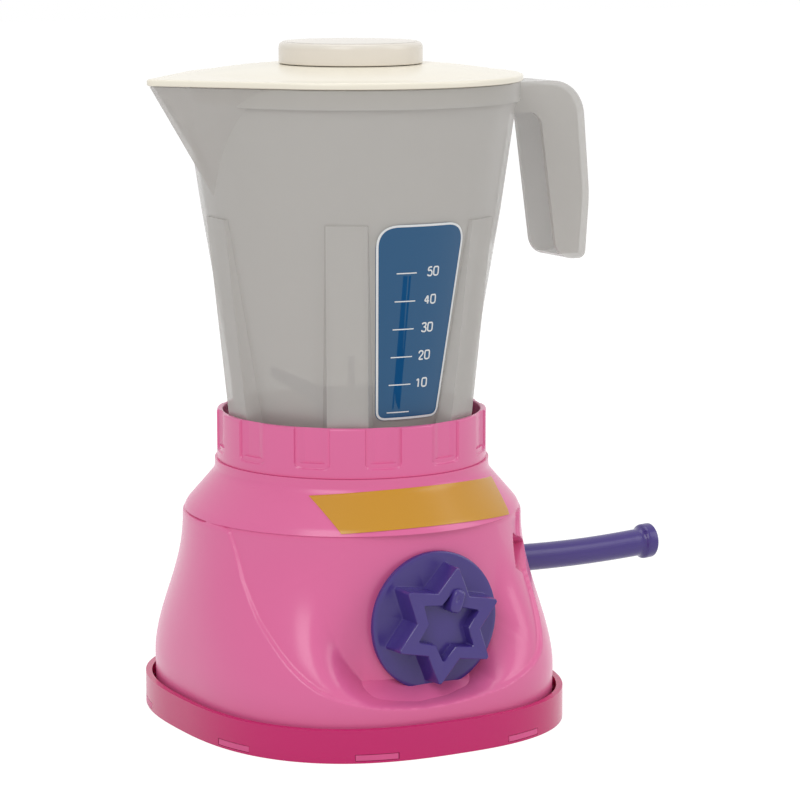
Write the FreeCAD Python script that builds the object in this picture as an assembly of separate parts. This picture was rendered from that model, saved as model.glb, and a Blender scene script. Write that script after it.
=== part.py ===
import FreeCAD, Part
import math
import os

# A toy kitchen blender for a child, worked by a hand crank. Millimetres.
# The origin is on the jar's axis, on the surface that the toy stands on.
# -Y is the front with the knob, +X is the side with the crank and the jar's handle, +Z is up.

Vector = FreeCAD.Vector
UP = Vector(0, 0, 1)
RIGHT = Vector(1, 0, 0)
BACK = Vector(0, 1, 0)
ORIGIN = Vector(0, 0, 0)

running_gap = 0.05      # radial clearance of a shaft in its bush
seat_gap = 0.3          # between moving pieces that pass each other

# Tray that closes the foot
tray_half_width = 72.2
tray_half_depth = 78.5
tray_height = 12.0
tray_floor = 2.0
tray_wall = 2.2
tray_corner_power = 2.55
tray_shell_gap = 1.4

# Snap tabs of the shell in slots of the tray
tab_angles = (22.0, 62.0, 118.0, 158.0)
tab_width = 15.5
tab_low = 0.95
tab_high = 3.05
tab_gap = 0.15
tab_inner = 57.8        # a snap tab starts this far out, inside the shell's wall

# Shell of the foot
shell_wall = 2.2
waist_radius = 62.9
flare_low = 17.0
flare_high = 75.0
shoulder_round = 8.5
shoulder_slope = 41.0   # degrees from the vertical
neck_radius = 51.0
deck_top = 96.0
outline_points = 48
flare_steps = 8
shoulder_steps = 4
shell_lean = 0.4        # of the wall, keeps it even where the shoulder leans

# Front panel, set back into the flare
panel_radius = 75.0
panel_front = 60.5
panel_left = -59.5
panel_right = 49.0
panel_top = 76.0
panel_left_bend = 48.0
panel_right_bend = 32.0
panel_sweep = ((-56.5, 39.5), (-50.0, 28.0), (-42.0, 22.0), (-29.0, 18.7), (-10.0, 17.1),
               (2.5, 17.7), (23.0, 20.2), (40.0, 25.0))

# Slots in the shell on both sides of the crank, seen square to the wall
slot_angle = 50.0
slot_corners = ((-6.5, 69.6), (-10.3, 58.1), (-4.4, 55.0), (8.4, 63.6))
slot_corner_radius = 1.2

# Jar collar
collar_radius = 50.1
collar_bore = 47.7
collar_top = 114.3
collar_floor = 2.2
collar_floor_bore = 36.0
collar_lip_radius = 1.0
window_count = 12
window_width = 13.2
window_depth = 1.1
window_low = 99.5
window_corner = 2.0

# Jar
jar_wall = 1.6
jar_base = 98.5
jar_base_radius = 40.0
jar_bend_height = 188.0
jar_bend_radius = 55.0
jar_top = 235.3
jar_top_radius = 61.8
rim_height = 6.8
rim_radius = 62.2
rib_count = 6
rib_top = 187.5
rib_base_radius = 45.4
rib_top_radius = 55.5
rib_face_width = 14.8
rib_side_slope = 0.3
rib_depth = 10.0
floor_thickness = 2.0
well_radius = 13.0      # raised pocket in the jar's floor, over the coupling
well_top = 107.0

# Spout
spout_tip = 80.6
spout_tip_radius = 3.0
spout_root_height = 193.5
spout_root_radius = 55.0

# Jar handle, an open hook
handle_width = 20.0
handle_wall = 1.8
handle_top = 233.4
handle_low = 165.7
handle_reach = 97.6
handle_gap_top = 222.0      # underside of the arm that joins handle and jar
handle_gap_reach = 75.6
handle_low_inner = 83.5
handle_low_outer = 95.9
handle_top_outer = 93.9
handle_widest_height = 190.0
handle_rounds = (14.0, 60.0, 3.0, 8.0, 6.0)   # top, back, lower back, lower front, gap

# Lid and its cap
lid_radius = 63.2
lid_tip = 81.5
lid_edge_low = 235.6
lid_edge_high = 237.9
lid_dome_top = 241.5
lid_tip_radius = 3.9
lid_wall = 1.6
lid_skirt_radius = 58.8
lid_skirt_low = 229.0
cap_radius = 26.4
cap_bottom = 241.8
cap_top = 250.0
cap_wall = 1.8
cap_edge_radius = 2.5
cap_plug_radius = 22.0
cap_plug_bottom = 236.0

# Star knob on the panel
knob_height = 45.4
knob_radius = 25.4
knob_rim_front = 63.1
star_front = 73.0
star_tip_radius = 22.3
star_valley_radius = 13.5
star_first_angle = 80.0
star_points = 6
star_tip_round = 1.2
star_valley_round = 0.8
pocket_tip_radius = 13.0
pocket_valley_radius = 8.1
pocket_depth = 4.0
pocket_round = 0.6
pointer_angle = 72.0
pointer_inner = 5.0
pointer_outer = 14.0
pointer_radius = 2.6
pointer_rise = 1.8
pointer_round = 2.3
spindle_radius = 4.0
spindle_end = 54.0
retainer_radius = 8.0
retainer_front = 57.4
retainer_thickness = 2.4

# Hand crank
crank_height = 62.5
crank_throw = 25.2
crank_rest_angle = -45.0    # of the arm, from +Y, seen from +X
shaft_radius = 4.0
shaft_inner_end = 8.0
hub_radius = 8.5
hub_inner = 66.0
hub_outer = 69.0
arm_inner = 70.5
arm_outer = 75.5
arm_end_radius = 8.0
arm_half_width = 6.5
grip_radius = 5.4
grip_end = 141.5
grip_flange_radius = 6.9
grip_flange_length = 4.5
crank_boss_radius = 9.5
crank_boss_inner = 54.0
crank_bush_radius = 6.0
crank_bush_outer = 65.7
bush_flange = 1.5

# Gears: a face gear on the crank shaft turns a pinion on the upright shaft
face_gear_teeth = 30
face_gear_radius = 18.0
face_gear_half_width = 2.0
face_gear_thickness = 4.0
pinion_teeth = 10
tooth_addendum = 0.9
tooth_dedendum = 1.3
tooth_half_width = 0.70     # at the pitch line
tooth_flank_slope = 0.36
pinion_half_length = 3.0
gear_hub_radius = 7.0
gear_hub_end = 19.7

# Bracket that carries the inner end of the crank shaft
bracket_inner = 20.0
bracket_thickness = 3.0
bracket_half_width = 14.0
bracket_top_round = 8.4
bracket_foot_round = 3.0
bracket_foot_length = 20.0
bracket_foot_half_width = 20.0
bracket_boss_height = 5.0
bracket_foot_thickness = 2.5
bracket_screw_y = 16.0
bracket_screw_x = 33.0
screw_radius = 1.6
screw_head_radius = 3.0
screw_head_height = 2.0
screw_boss_radius = 4.2
clip_radius = 6.5
clip_thickness = 1.2

# Upright shaft and coupling
drive_radius = 3.0
drive_bottom = 4.3
foot_boss_radius = 8.0
foot_boss_top = 12.0
foot_bore_bottom = 4.0
foot_bush_radius = 4.5
top_bush_radius = 5.5
top_bush_flange_radius = 8.5
coupling_radius = 9.0
coupling_plate = 2.0
coupling_low = 96.5
dog_length = 2.6
dog_count = 3
dog_angle = 46.0
dog_inner_radius = 4.2
blade_shaft_radius = 2.5
blade_bush_radius = 4.0
blade_hub_radius = 5.0
blade_hub_low = 107.3
blade_hub_top = 122.0
blade_count = 4
blade_first_angle = -28.3
blade_thickness = 2.4
blade_tip_radius = 30.0
blade_tip_top = 130.0
blade_tip_low = 126.0
blade_root_top = 122.0
blade_root_low = 108.0
blade_knee_radius = 12.0
blade_knee_slant = 3.0
blade_knee_drop = 5.0
blade_rounds = (3.0, 4.0, 1.5, 1.5, 3.0)

# Stickers
skin = 0.3
skin_gap = 0.12         # the glue under a sticker
skin_margin = 5.0
band_corner = 1.5
label_top = 187.6
label_bottom = 116.0
label_top_half = 18.2
label_bottom_half = 12.6
label_top_round = 8.0
label_bottom_round = 3.0
band_top = 91.0
band_bottom = 78.6
band_top_left = -38.5
band_top_right = 41.5
band_bottom_left = -33.0
band_bottom_right = 39.0

pinion_radius = face_gear_radius * pinion_teeth / face_gear_teeth
panel_centre = panel_radius - panel_front
shoulder_turn = math.radians(shoulder_slope)
cone_start = flare_high + shoulder_round * math.sin(shoulder_turn)
cone_start_radius = waist_radius - shoulder_round * (1 - math.cos(shoulder_turn))
neck_low = cone_start + (cone_start_radius - neck_radius) / math.tan(shoulder_turn)
coupling_face = coupling_low + coupling_plate
upper_plate_low = coupling_face + dog_length + seat_gap
upper_plate_top = upper_plate_low + coupling_plate
well_ceiling = well_top - floor_thickness
gear_mesh_height = crank_height + face_gear_radius


def cylinder(radius, low, high, x=0.0, y=0.0):
    return Part.makeCylinder(radius, high - low, Vector(x, y, low), UP)


def tube(radius, bore, low, high, x=0.0, y=0.0):
    return cylinder(radius, low, high, x, y).cut(cylinder(bore, low - 1, high + 1, x, y))


def rod_along_x(radius, inner, outer, y=0.0, z=crank_height):
    return Part.makeCylinder(radius, outer - inner, Vector(inner, y, z), RIGHT)


def rod_along_y(radius, front, back, x=0.0, z=knob_height):
    return Part.makeCylinder(radius, back - front, Vector(x, front, z), BACK)


def turned(shape, angle, axis=UP, centre=ORIGIN):
    copy = shape.copy()
    copy.rotate(centre, axis, angle)
    return copy


def on_plane(plane, u, v, w):
    """A point of a flat outline: front is X and Z, side is Y and Z, top is X and Y."""
    if plane == "front":
        return Vector(u, w, v)
    if plane == "side":
        return Vector(w, u, v)
    return Vector(u, v, w)


def rounded_wire(points, radii):
    """A closed wire of straight runs whose corners are arcs of the given radii."""
    edges = []
    starts = []
    ends = []
    middles = []
    count = len(points)
    for index, corner in enumerate(points):
        before = (points[index - 1] - corner).normalize()
        after = (points[(index + 1) % count] - corner).normalize()
        half = before.getAngle(after) / 2
        cut = radii[index] / math.tan(half)
        bisector = (before + after).normalize()
        starts.append(corner + before * cut)
        ends.append(corner + after * cut)
        middles.append(corner + bisector * (radii[index] / math.sin(half) - radii[index]))
    for index in range(count):
        if radii[index] > 0:
            edges.append(Part.Arc(starts[index], middles[index], ends[index]).toShape())
        edges.append(Part.LineSegment(ends[index], starts[(index + 1) % count]).toShape())
    return Part.Wire(edges)


def outline(plane, corners, w, radius):
    radii = radius if isinstance(radius, (list, tuple)) else [radius] * len(corners)
    return rounded_wire([on_plane(plane, u, v, w) for u, v in corners], radii)


def prism(plane, corners, start, end, radius=0.0):
    """A flat outline with rounded corners, carried from start to end along its normal."""
    face = Part.Face(outline(plane, corners, start, radius))
    return face.extrude(on_plane(plane, 0, 0, end - start))


def revolved(corners, radius=0.0):
    """Corners are radius and height; the face turns once about the jar's axis."""
    return Part.Face(outline("front", corners, 0.0, radius)).revolve(ORIGIN, UP, 360)


def smooth_loop(points):
    curve = Part.BSplineCurve()
    curve.interpolate(Points=points, PeriodicFlag=True)
    return Part.Wire([curve.toShape()])


def foot_radius(angle, inset):
    """Radius of the squarish foot: a superellipse of the tray's half sizes less an inset."""
    across = abs(math.cos(angle)) / (tray_half_width - inset)
    along = abs(math.sin(angle)) / (tray_half_depth - inset)
    return (across ** tray_corner_power + along ** tray_corner_power) ** (-1 / tray_corner_power)


def loop_at(height, radius_at):
    """A closed smooth outline that starts at the back, clear of every opening."""
    step = 2 * math.pi / outline_points
    angles = [math.pi / 2 + index * step for index in range(outline_points)]
    return smooth_loop([Vector(radius_at(a) * math.cos(a), radius_at(a) * math.sin(a), height)
                        for a in angles])


def foot_prism(inset, low, high):
    wire = loop_at(low, lambda angle: foot_radius(angle, inset))
    return Part.Face(wire).extrude(Vector(0, 0, high - low))


def shoulder_radius(height):
    """The shell above the waist: an arc, a cone and the upright neck."""
    if height <= flare_high:
        return waist_radius
    if height <= cone_start:
        rise = height - flare_high
        return waist_radius - shoulder_round + math.sqrt(shoulder_round ** 2 - rise ** 2)
    return max(neck_radius, cone_start_radius - (height - cone_start) * math.tan(shoulder_turn))


def shell_radius(angle, height):
    """The flare fades from the foot's outline to the round waist along half a cosine wave."""
    if height >= flare_high:
        return shoulder_radius(height)
    share = min(max((height - flare_low) / (flare_high - flare_low), 0), 1)
    fade = (1 + math.cos(math.pi * share)) / 2
    foot = foot_radius(angle, tray_wall + tray_shell_gap)
    return waist_radius + (foot - waist_radius) * fade


def shell_heights():
    """Heights of the loft's sections: even steps up the flare, finer round the shoulder."""
    heights = [tray_floor, (tray_floor + flare_low) / 2]
    heights += [flare_low + (flare_high - flare_low) * i / flare_steps for i in range(flare_steps + 1)]
    heights += [flare_high + (cone_start - flare_high) * i / shoulder_steps
                for i in range(1, shoulder_steps + 1)]
    heights += [(cone_start + neck_low) / 2, neck_low, (neck_low + deck_top) / 2, deck_top]
    return heights


def shell_body(inset):
    """The shell's outside, or its inside one wall further in and down."""
    sections = []
    for height in shell_heights():
        level = height - shell_lean * inset
        if height == deck_top:
            level = height - inset
        if height == tray_floor and inset > 0:
            level = height - 1
        sections.append(loop_at(level, lambda angle: shell_radius(angle, height) - inset))
    return Part.makeLoft(sections, True, False)


def panel_recess(inset):
    """What the front panel takes out of the flare; inset moves it one wall further in."""
    front = -tray_half_depth - 10
    left = Vector(panel_left, front, panel_left_bend)
    right = Vector(panel_right, front, panel_right_bend)
    sweep = [left] + [Vector(x, front, z) for x, z in panel_sweep] + [right]
    curve = Part.BSplineCurve()
    curve.interpolate(Points=sweep)
    moved = []
    for point in sweep:
        along = curve.tangent(curve.parameter(point))[0]
        moved.append(point + Vector(along.z, 0, -along.x) * inset)
    curve.interpolate(Points=moved)
    left = moved[0]
    right = moved[-1]
    top_left = Vector(left.x, front, panel_top + inset)
    top_right = Vector(right.x, front, panel_top + inset)
    wire = Part.Wire([curve.toShape(), Part.LineSegment(right, top_right).toShape(),
                      Part.LineSegment(top_right, top_left).toShape(),
                      Part.LineSegment(top_left, left).toShape()])
    block = Part.Face(wire).extrude(Vector(0, -front, 0))
    return block.cut(Part.makeCylinder(panel_radius - inset, deck_top + 10,
                                       Vector(0, panel_centre, -5), UP))


def slot_cutter(side):
    reach = 30.0
    block = prism("front", slot_corners, -waist_radius - reach, -waist_radius + reach,
                  slot_corner_radius)
    block = turned(block, slot_angle)
    return block if side < 0 else block.mirror(ORIGIN, BACK)


def tab_ring(angle, gap, low, high):
    """One snap tab, or with a gap its slot, as a piece of the tray's edge."""
    half = tab_width / 2 + gap
    reach = tray_half_depth + 10
    wedge = prism("front", ((-half, low - gap), (half, low - gap), (half, high + gap),
                            (-half, high + gap)), -reach, -tab_inner)
    return turned(wedge, angle)


def tab_places():
    return [side * angle for angle in tab_angles for side in (-1, 1)]


def base_plate():
    tray = foot_prism(0, 0, tray_height)
    tray = tray.cut(foot_prism(tray_wall, tray_floor, tray_height + 1))
    core = foot_prism(tray_wall + tray_shell_gap + shell_wall + tab_gap, -1, tray_height)
    tray = tray.cut([tab_ring(angle, tab_gap, tab_low, tab_high).cut(core)
                     for angle in tab_places()])
    tray = tray.fuse(cylinder(foot_boss_radius, tray_floor, foot_boss_top))
    tray = tray.cut(cylinder(foot_bush_radius + running_gap, foot_bore_bottom, foot_boss_top + 1))
    for side in (-1, 1):
        y = side * bracket_screw_y
        boss_top = tray_floor + bracket_boss_height
        tray = tray.fuse(cylinder(screw_boss_radius, tray_floor, boss_top, bracket_screw_x, y))
        tray = tray.cut(cylinder(screw_radius + running_gap, tray_floor - 1, boss_top + 1,
                                 bracket_screw_x, y))
    return tray


def housing():
    outside = shell_body(0).cut(panel_recess(0))
    inside = shell_body(shell_wall).cut(panel_recess(shell_wall))
    inside = inside.cut(rod_along_x(crank_boss_radius, crank_boss_inner, tray_half_width))
    shell = outside.cut(inside)
    holes = [rod_along_x(crank_bush_radius + running_gap, crank_boss_inner - 1, hub_outer),
             rod_along_y(spindle_radius + running_gap, -tray_half_depth, -spindle_end),
             cylinder(top_bush_radius + running_gap, deck_top - shell_wall * 2, deck_top + 1),
             slot_cutter(-1), slot_cutter(1)]
    shell = shell.cut(holes)
    middle_of_wall = tray_wall + tray_shell_gap + shell_wall / 2
    rim = foot_prism(0, 0, tray_height).cut(foot_prism(middle_of_wall, -1, tray_height + 1))
    tabs = [tab_ring(angle, 0, tab_low, tab_high).common(rim) for angle in tab_places()]
    return shell.fuse(tabs)


def jar_collar():
    top = collar_top
    ring = revolved(((collar_floor_bore, deck_top), (collar_radius, deck_top),
                     (collar_radius, top), (collar_bore, top), (collar_bore, collar_seat()),
                     (collar_floor_bore, collar_seat())),
                    (0, 0, collar_lip_radius, collar_lip_radius, 0, 0))
    half = window_width / 2
    window = prism("front", ((-half, window_low), (half, window_low), (half, top + 1),
                             (-half, top + 1)), -collar_radius - 1, -collar_bore + 10,
                   (window_corner, window_corner, 0, 0))
    window = window.cut(cylinder(collar_radius - window_depth, deck_top, top + 2))
    pitch = 360 / window_count
    for index in range(window_count):
        ring = ring.cut(turned(window, (index + 0.5) * pitch))
    return ring


def collar_seat():
    return deck_top + collar_floor


def jar_radius(height):
    """Outside of the jar's wall, which opens a little less above the ribs."""
    if height <= jar_bend_height:
        share = (height - jar_base) / (jar_bend_height - jar_base)
        return jar_base_radius + (jar_bend_radius - jar_base_radius) * share
    share = (height - jar_bend_height) / (jar_top - jar_bend_height)
    return jar_bend_radius + (jar_top_radius - jar_bend_radius) * share


def jar_body(inset, low, rise):
    """The jar's cone with its bend; the inside of the wall rises past the top."""
    top = jar_top + rise
    return revolved(((0, low), (jar_radius(low) - inset, low),
                     (jar_bend_radius - inset, jar_bend_height), (jar_radius(top) - inset, top),
                     (0, top)))


def rib(inset, low, high):
    """One outward rib at the front, a drafted bar that dies out where the wall has met it."""
    slope = (rib_top_radius - rib_base_radius) / (rib_top - jar_base)
    sections = []
    for height in (low, high):
        face = rib_base_radius + slope * (height - jar_base) - inset
        half = rib_face_width / 2 - inset
        back_half = half + rib_side_slope * rib_depth
        back = rib_depth - face
        corners = ((-half, -face), (half, -face), (back_half, back), (-back_half, back))
        sections.append(outline("top", corners, height, 0.0))
    return Part.makeLoft(sections, True, True)


def teardrop(radius, tip, tip_radius, height):
    """The circle of the rim with tangents that meet in the round tip of the spout."""
    tip_centre = tip - tip_radius
    turn = math.acos((radius - tip_radius) / tip_centre)
    side = Vector(-radius * math.cos(turn), radius * math.sin(turn), height)
    nose = Vector(-tip_centre - tip_radius * math.cos(turn), tip_radius * math.sin(turn), height)
    side_low = Vector(side.x, -side.y, height)
    nose_low = Vector(nose.x, -nose.y, height)
    return side, nose, nose_low, side_low


def teardrop_wire(radius, tip, tip_radius, height):
    side, nose, nose_low, side_low = teardrop(radius, tip, tip_radius, height)
    return Part.Wire([Part.LineSegment(side, nose).toShape(),
                      Part.Arc(nose, Vector(-tip, 0, height), nose_low).toShape(),
                      Part.LineSegment(nose_low, side_low).toShape(),
                      Part.Arc(side_low, Vector(radius, 0, height), side).toShape()])


def spout(inset, rise):
    """A ridge that runs from the jar's wall up to the tip, widening into the rim."""
    tip_radius = max(spout_tip_radius - inset, 0.5)
    tip = Vector(inset - spout_tip, 0, jar_top)
    side, nose, nose_low, side_low = teardrop(jar_top_radius - inset, -tip.x, tip_radius, jar_top)
    root = Vector(inset - spout_root_radius, 0, spout_root_height + inset)
    stretch = 1 + rise / (jar_top - root.z)
    corners = [root + (corner - root) * stretch for corner in (side, nose, tip, nose_low, side_low)]
    side, nose, tip, nose_low, side_low = corners
    base = Part.Wire([Part.LineSegment(side, nose).toShape(),
                      Part.Arc(nose, tip, nose_low).toShape(),
                      Part.LineSegment(nose_low, side_low).toShape(),
                      Part.LineSegment(side_low, side).toShape()])
    return Part.makeLoft([base, Part.Vertex(root)], True, True)


def handle():
    """An open hook: a channel that is closed behind, at its sides and at its foot."""
    start = jar_radius(handle_gap_top) - 5
    half = handle_width / 2
    corners = ((start, handle_top), (handle_top_outer, handle_top),
               (handle_reach, handle_widest_height), (handle_low_outer, handle_low),
               (handle_low_inner, handle_low), (handle_gap_reach, handle_gap_top),
               (start, handle_gap_top))
    bar = prism("front", corners, -half, half, (0,) + handle_rounds + (0,))
    wall = handle_wall
    channel = ((start - 1, handle_top - wall), (handle_top_outer - wall, handle_top - wall),
               (handle_reach - wall, handle_widest_height), (handle_low_outer - wall, handle_low + wall),
               (start - 1, handle_low + wall))
    return bar.cut(prism("front", channel, wall - half, half - wall,
                         (0, handle_rounds[0] - wall, handle_rounds[1], 1.0, 0)))


def jar():
    floor_top = jar_base + floor_thickness
    outside = jar_body(0, jar_base, 0)
    outside = outside.fuse(cylinder(rim_radius, jar_top - rim_height, jar_top))
    inside = jar_body(jar_wall, floor_top, 1)
    pitch = 360 / rib_count
    for index in range(rib_count):
        angle = (index + 0.5) * pitch
        outside = outside.fuse(turned(rib(0, jar_base, rib_top), angle))
        inside = inside.fuse(turned(rib(jar_wall, floor_top, rib_top - jar_wall), angle))
    outside = outside.fuse(spout(0, 0))
    outside = outside.fuse(handle())
    body = outside.cut(inside)
    body = body.cut(spout(jar_wall, 1))
    body = body.fuse(cylinder(well_radius + jar_wall, jar_base, well_top))
    body = body.cut(cylinder(well_radius, jar_base - 1, well_ceiling))
    return body.cut(cylinder(blade_bush_radius + running_gap, well_ceiling - 1, well_top + 1))


def lid():
    plate = Part.Face(teardrop_wire(lid_radius, lid_tip, lid_tip_radius, lid_edge_low))
    plate = plate.extrude(Vector(0, 0, lid_edge_high - lid_edge_low))
    edge = lid_skirt_radius
    dome = revolved(((0, lid_edge_low), (edge, lid_edge_low), (edge, lid_edge_high),
                     (cap_radius, lid_dome_top), (0, lid_dome_top)))
    top = plate.fuse(dome)
    skirt_bore = lid_skirt_radius - lid_wall
    under = revolved(((0, lid_edge_low - 1), (skirt_bore, lid_edge_low - 1),
                      (skirt_bore, lid_edge_high - lid_wall), (cap_radius, lid_dome_top - lid_wall),
                      (0, lid_dome_top - lid_wall)))
    top = top.cut(under)
    top = top.fuse(tube(lid_skirt_radius, skirt_bore, lid_skirt_low, lid_edge_high - lid_wall))
    return top.cut(cylinder(cap_plug_radius + seat_gap, lid_edge_low, lid_dome_top + 1))


def filler_cap():
    inner = cap_radius - cap_wall
    cap = revolved(((0, cap_bottom), (cap_radius, cap_bottom), (cap_radius, cap_top), (0, cap_top)),
                   (0, 0, cap_edge_radius, 0))
    cap = cap.cut(cylinder(inner, cap_bottom - 1, cap_top - cap_wall))
    return cap.fuse(tube(cap_plug_radius, cap_plug_radius - cap_wall, cap_plug_bottom,
                         cap_top - cap_wall / 2))


def star_corners(tip, valley, centre):
    corners = []
    for index in range(2 * star_points):
        angle = math.radians(star_first_angle + 180 / star_points * index)
        reach = tip if index % 2 == 0 else valley
        corners.append((reach * math.cos(angle), centre + reach * math.sin(angle)))
    return corners


def star_knob():
    back = -panel_front - seat_gap
    disc = rod_along_y(knob_radius, -knob_rim_front, back)
    rounds = [star_tip_round, star_valley_round] * star_points
    star = prism("front", star_corners(star_tip_radius, star_valley_radius, knob_height),
                 -star_front, -knob_rim_front, rounds)
    pocket = prism("front", star_corners(pocket_tip_radius, pocket_valley_radius, knob_height),
                   -star_front - 1, -star_front + pocket_depth, [pocket_round] * len(rounds))
    knob = disc.fuse(star).cut(pocket)
    turn = math.radians(pointer_angle)
    ends = []
    for reach in (pointer_inner, pointer_outer):
        ends.append((reach * math.cos(turn), knob_height + reach * math.sin(turn)))
    sideways = (-math.sin(turn) * pointer_radius, math.cos(turn) * pointer_radius)
    bar = prism("front", ((ends[0][0] + sideways[0], ends[0][1] + sideways[1]),
                          (ends[0][0] - sideways[0], ends[0][1] - sideways[1]),
                          (ends[1][0] - sideways[0], ends[1][1] - sideways[1]),
                          (ends[1][0] + sideways[0], ends[1][1] + sideways[1])),
                -star_front - pointer_rise, -star_front + pocket_depth, pointer_round)
    knob = knob.fuse(bar)
    return knob.fuse(rod_along_y(spindle_radius, back, -spindle_end))


def knob_retainer():
    front = -retainer_front
    ring = rod_along_y(retainer_radius, front, front + retainer_thickness)
    return ring.cut(rod_along_y(spindle_radius + running_gap, front - 1,
                                front + retainer_thickness + 1))


def crank():
    turn = math.radians(crank_rest_angle)
    grip_y = crank_throw * math.cos(turn)
    grip_z = crank_height + crank_throw * math.sin(turn)
    hub = rod_along_x(hub_radius, hub_inner, hub_outer)
    sections = []
    across = (arm_half_width * math.sin(turn), arm_half_width * math.cos(turn))
    for inner, outer, y, z in ((hub_inner, hub_outer, 0.0, crank_height),
                               (arm_inner, arm_outer, grip_y, grip_z)):
        corners = (Vector(inner, y + across[0], z - across[1]),
                   Vector(outer, y + across[0], z - across[1]),
                   Vector(outer, y - across[0], z + across[1]),
                   Vector(inner, y - across[0], z + across[1]))
        sections.append(rounded_wire(corners, [0] * len(corners)))
    arm = Part.makeLoft(sections, True, True)
    end = rod_along_x(arm_end_radius, arm_inner, arm_outer, grip_y, grip_z)
    grip = rod_along_x(grip_radius, arm_inner, grip_end, grip_y, grip_z)
    flange = rod_along_x(grip_flange_radius, grip_end, grip_end + grip_flange_length, grip_y, grip_z)
    whole = hub.fuse([arm, end, grip, flange])
    return whole.cut(rod_along_x(shaft_radius + running_gap, hub_inner - 1, hub_outer))


def crank_shaft():
    return rod_along_x(shaft_radius, shaft_inner_end, hub_outer - running_gap)


def crank_bush():
    sleeve = rod_along_x(crank_bush_radius, crank_boss_inner, crank_bush_outer)
    flange = rod_along_x(crank_boss_radius - 1, crank_boss_inner - bush_flange, crank_boss_inner)
    return sleeve.fuse(flange).cut(rod_along_x(shaft_radius + running_gap,
                                               crank_boss_inner - bush_flange - 1,
                                               crank_bush_outer + 1))


def tooth_widths():
    """Half widths of a tooth at its tip and at its root."""
    return (tooth_half_width - tooth_flank_slope * tooth_addendum,
            tooth_half_width + tooth_flank_slope * tooth_dedendum)


def crown_gear():
    tip, root = tooth_widths()
    overlap = 0.2
    face_x = pinion_radius + tooth_dedendum
    tip_x = pinion_radius - tooth_addendum
    sections = []
    for reach in (face_gear_radius - face_gear_half_width, face_gear_radius + face_gear_half_width):
        scale = reach / face_gear_radius
        corners = ((tip_x, -tip * scale), (tip_x, tip * scale), (face_x + overlap, root * scale),
                   (face_x + overlap, -root * scale))
        sections.append(outline("top", corners, crank_height + reach, 0.0))
    tooth = Part.makeLoft(sections, True, True)
    centre = Vector(0, 0, crank_height)
    pitch = 360 / face_gear_teeth
    teeth = [turned(tooth, (index + 0.5) * pitch, RIGHT, centre) for index in range(face_gear_teeth)]
    outer = face_gear_radius + face_gear_half_width
    disc = rod_along_x(outer, face_x, face_x + face_gear_thickness)
    gear = disc.fuse(rod_along_x(gear_hub_radius, face_x, gear_hub_end)).fuse(teeth)
    return gear.cut(rod_along_x(shaft_radius + running_gap, face_x - 1, gear_hub_end + 1))


def drive_pinion():
    tip, root = tooth_widths()
    inner = pinion_radius - tooth_dedendum
    low = gear_mesh_height - pinion_half_length
    high = gear_mesh_height + pinion_half_length
    tooth = prism("top", ((inner - 1, -root), (pinion_radius + tooth_addendum, -tip),
                          (pinion_radius + tooth_addendum, tip), (inner - 1, root)), low, high)
    teeth = [turned(tooth, index * 360 / pinion_teeth) for index in range(pinion_teeth)]
    gear = cylinder(inner, low, high).fuse(teeth)
    return gear.cut(cylinder(drive_radius + running_gap, low - 1, high + 1))


def crank_clip():
    start = bracket_inner + bracket_thickness + seat_gap
    ring = rod_along_x(clip_radius, start, start + clip_thickness)
    return ring.cut(rod_along_x(shaft_radius + running_gap, start - 1, start + clip_thickness + 1))


def gear_frame():
    """A bracket: an upright ear round the crank shaft on a foot with two screw holes."""
    foot_low = tray_floor + bracket_boss_height
    outer = bracket_inner + bracket_thickness
    top = crank_height + bracket_half_width
    half = bracket_half_width
    foot_half = bracket_foot_half_width
    ear = prism("side", ((-foot_half, foot_low), (foot_half, foot_low), (half, top), (-half, top)),
                bracket_inner, outer, (0, 0, bracket_top_round, bracket_top_round))
    foot = prism("top", ((bracket_inner, -foot_half), (outer + bracket_foot_length, -foot_half),
                         (outer + bracket_foot_length, foot_half), (bracket_inner, foot_half)),
                 foot_low, foot_low + bracket_foot_thickness,
                 (0, bracket_foot_round, bracket_foot_round, 0))
    frame = ear.fuse(foot)
    frame = frame.cut(rod_along_x(shaft_radius + running_gap, bracket_inner - 1, outer + 1))
    for side in (-1, 1):
        frame = frame.cut(cylinder(screw_radius + running_gap, foot_low - 1,
                                   foot_low + bracket_foot_thickness + 1,
                                   bracket_screw_x, side * bracket_screw_y))
    return frame


def frame_screws():
    foot_top = tray_floor + bracket_boss_height + bracket_foot_thickness
    screws = []
    for side in (-1, 1):
        y = side * bracket_screw_y
        shank = cylinder(screw_radius, tray_floor, foot_top, bracket_screw_x, y)
        head = cylinder(screw_head_radius, foot_top, foot_top + screw_head_height, bracket_screw_x, y)
        screws.append(shank.fuse(head))
    return Part.makeCompound(screws)


def drive_foot_bush():
    sleeve = cylinder(foot_bush_radius, foot_bore_bottom, foot_boss_top)
    flange = cylinder(foot_boss_radius - 1, foot_boss_top, foot_boss_top + bush_flange)
    return sleeve.fuse(flange).cut(cylinder(drive_radius + running_gap, foot_bore_bottom - 1,
                                            foot_boss_top + bush_flange + 1))


def drive_top_bush():
    deck_under = deck_top - shell_wall
    sleeve = cylinder(top_bush_radius, deck_under, deck_top)
    flange = cylinder(top_bush_flange_radius, deck_under - bush_flange, deck_under)
    return sleeve.fuse(flange).cut(cylinder(drive_radius + running_gap, deck_under - bush_flange - 1,
                                            deck_top + 1))


def drive_shaft():
    return cylinder(drive_radius, drive_bottom, coupling_face - seat_gap)


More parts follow.
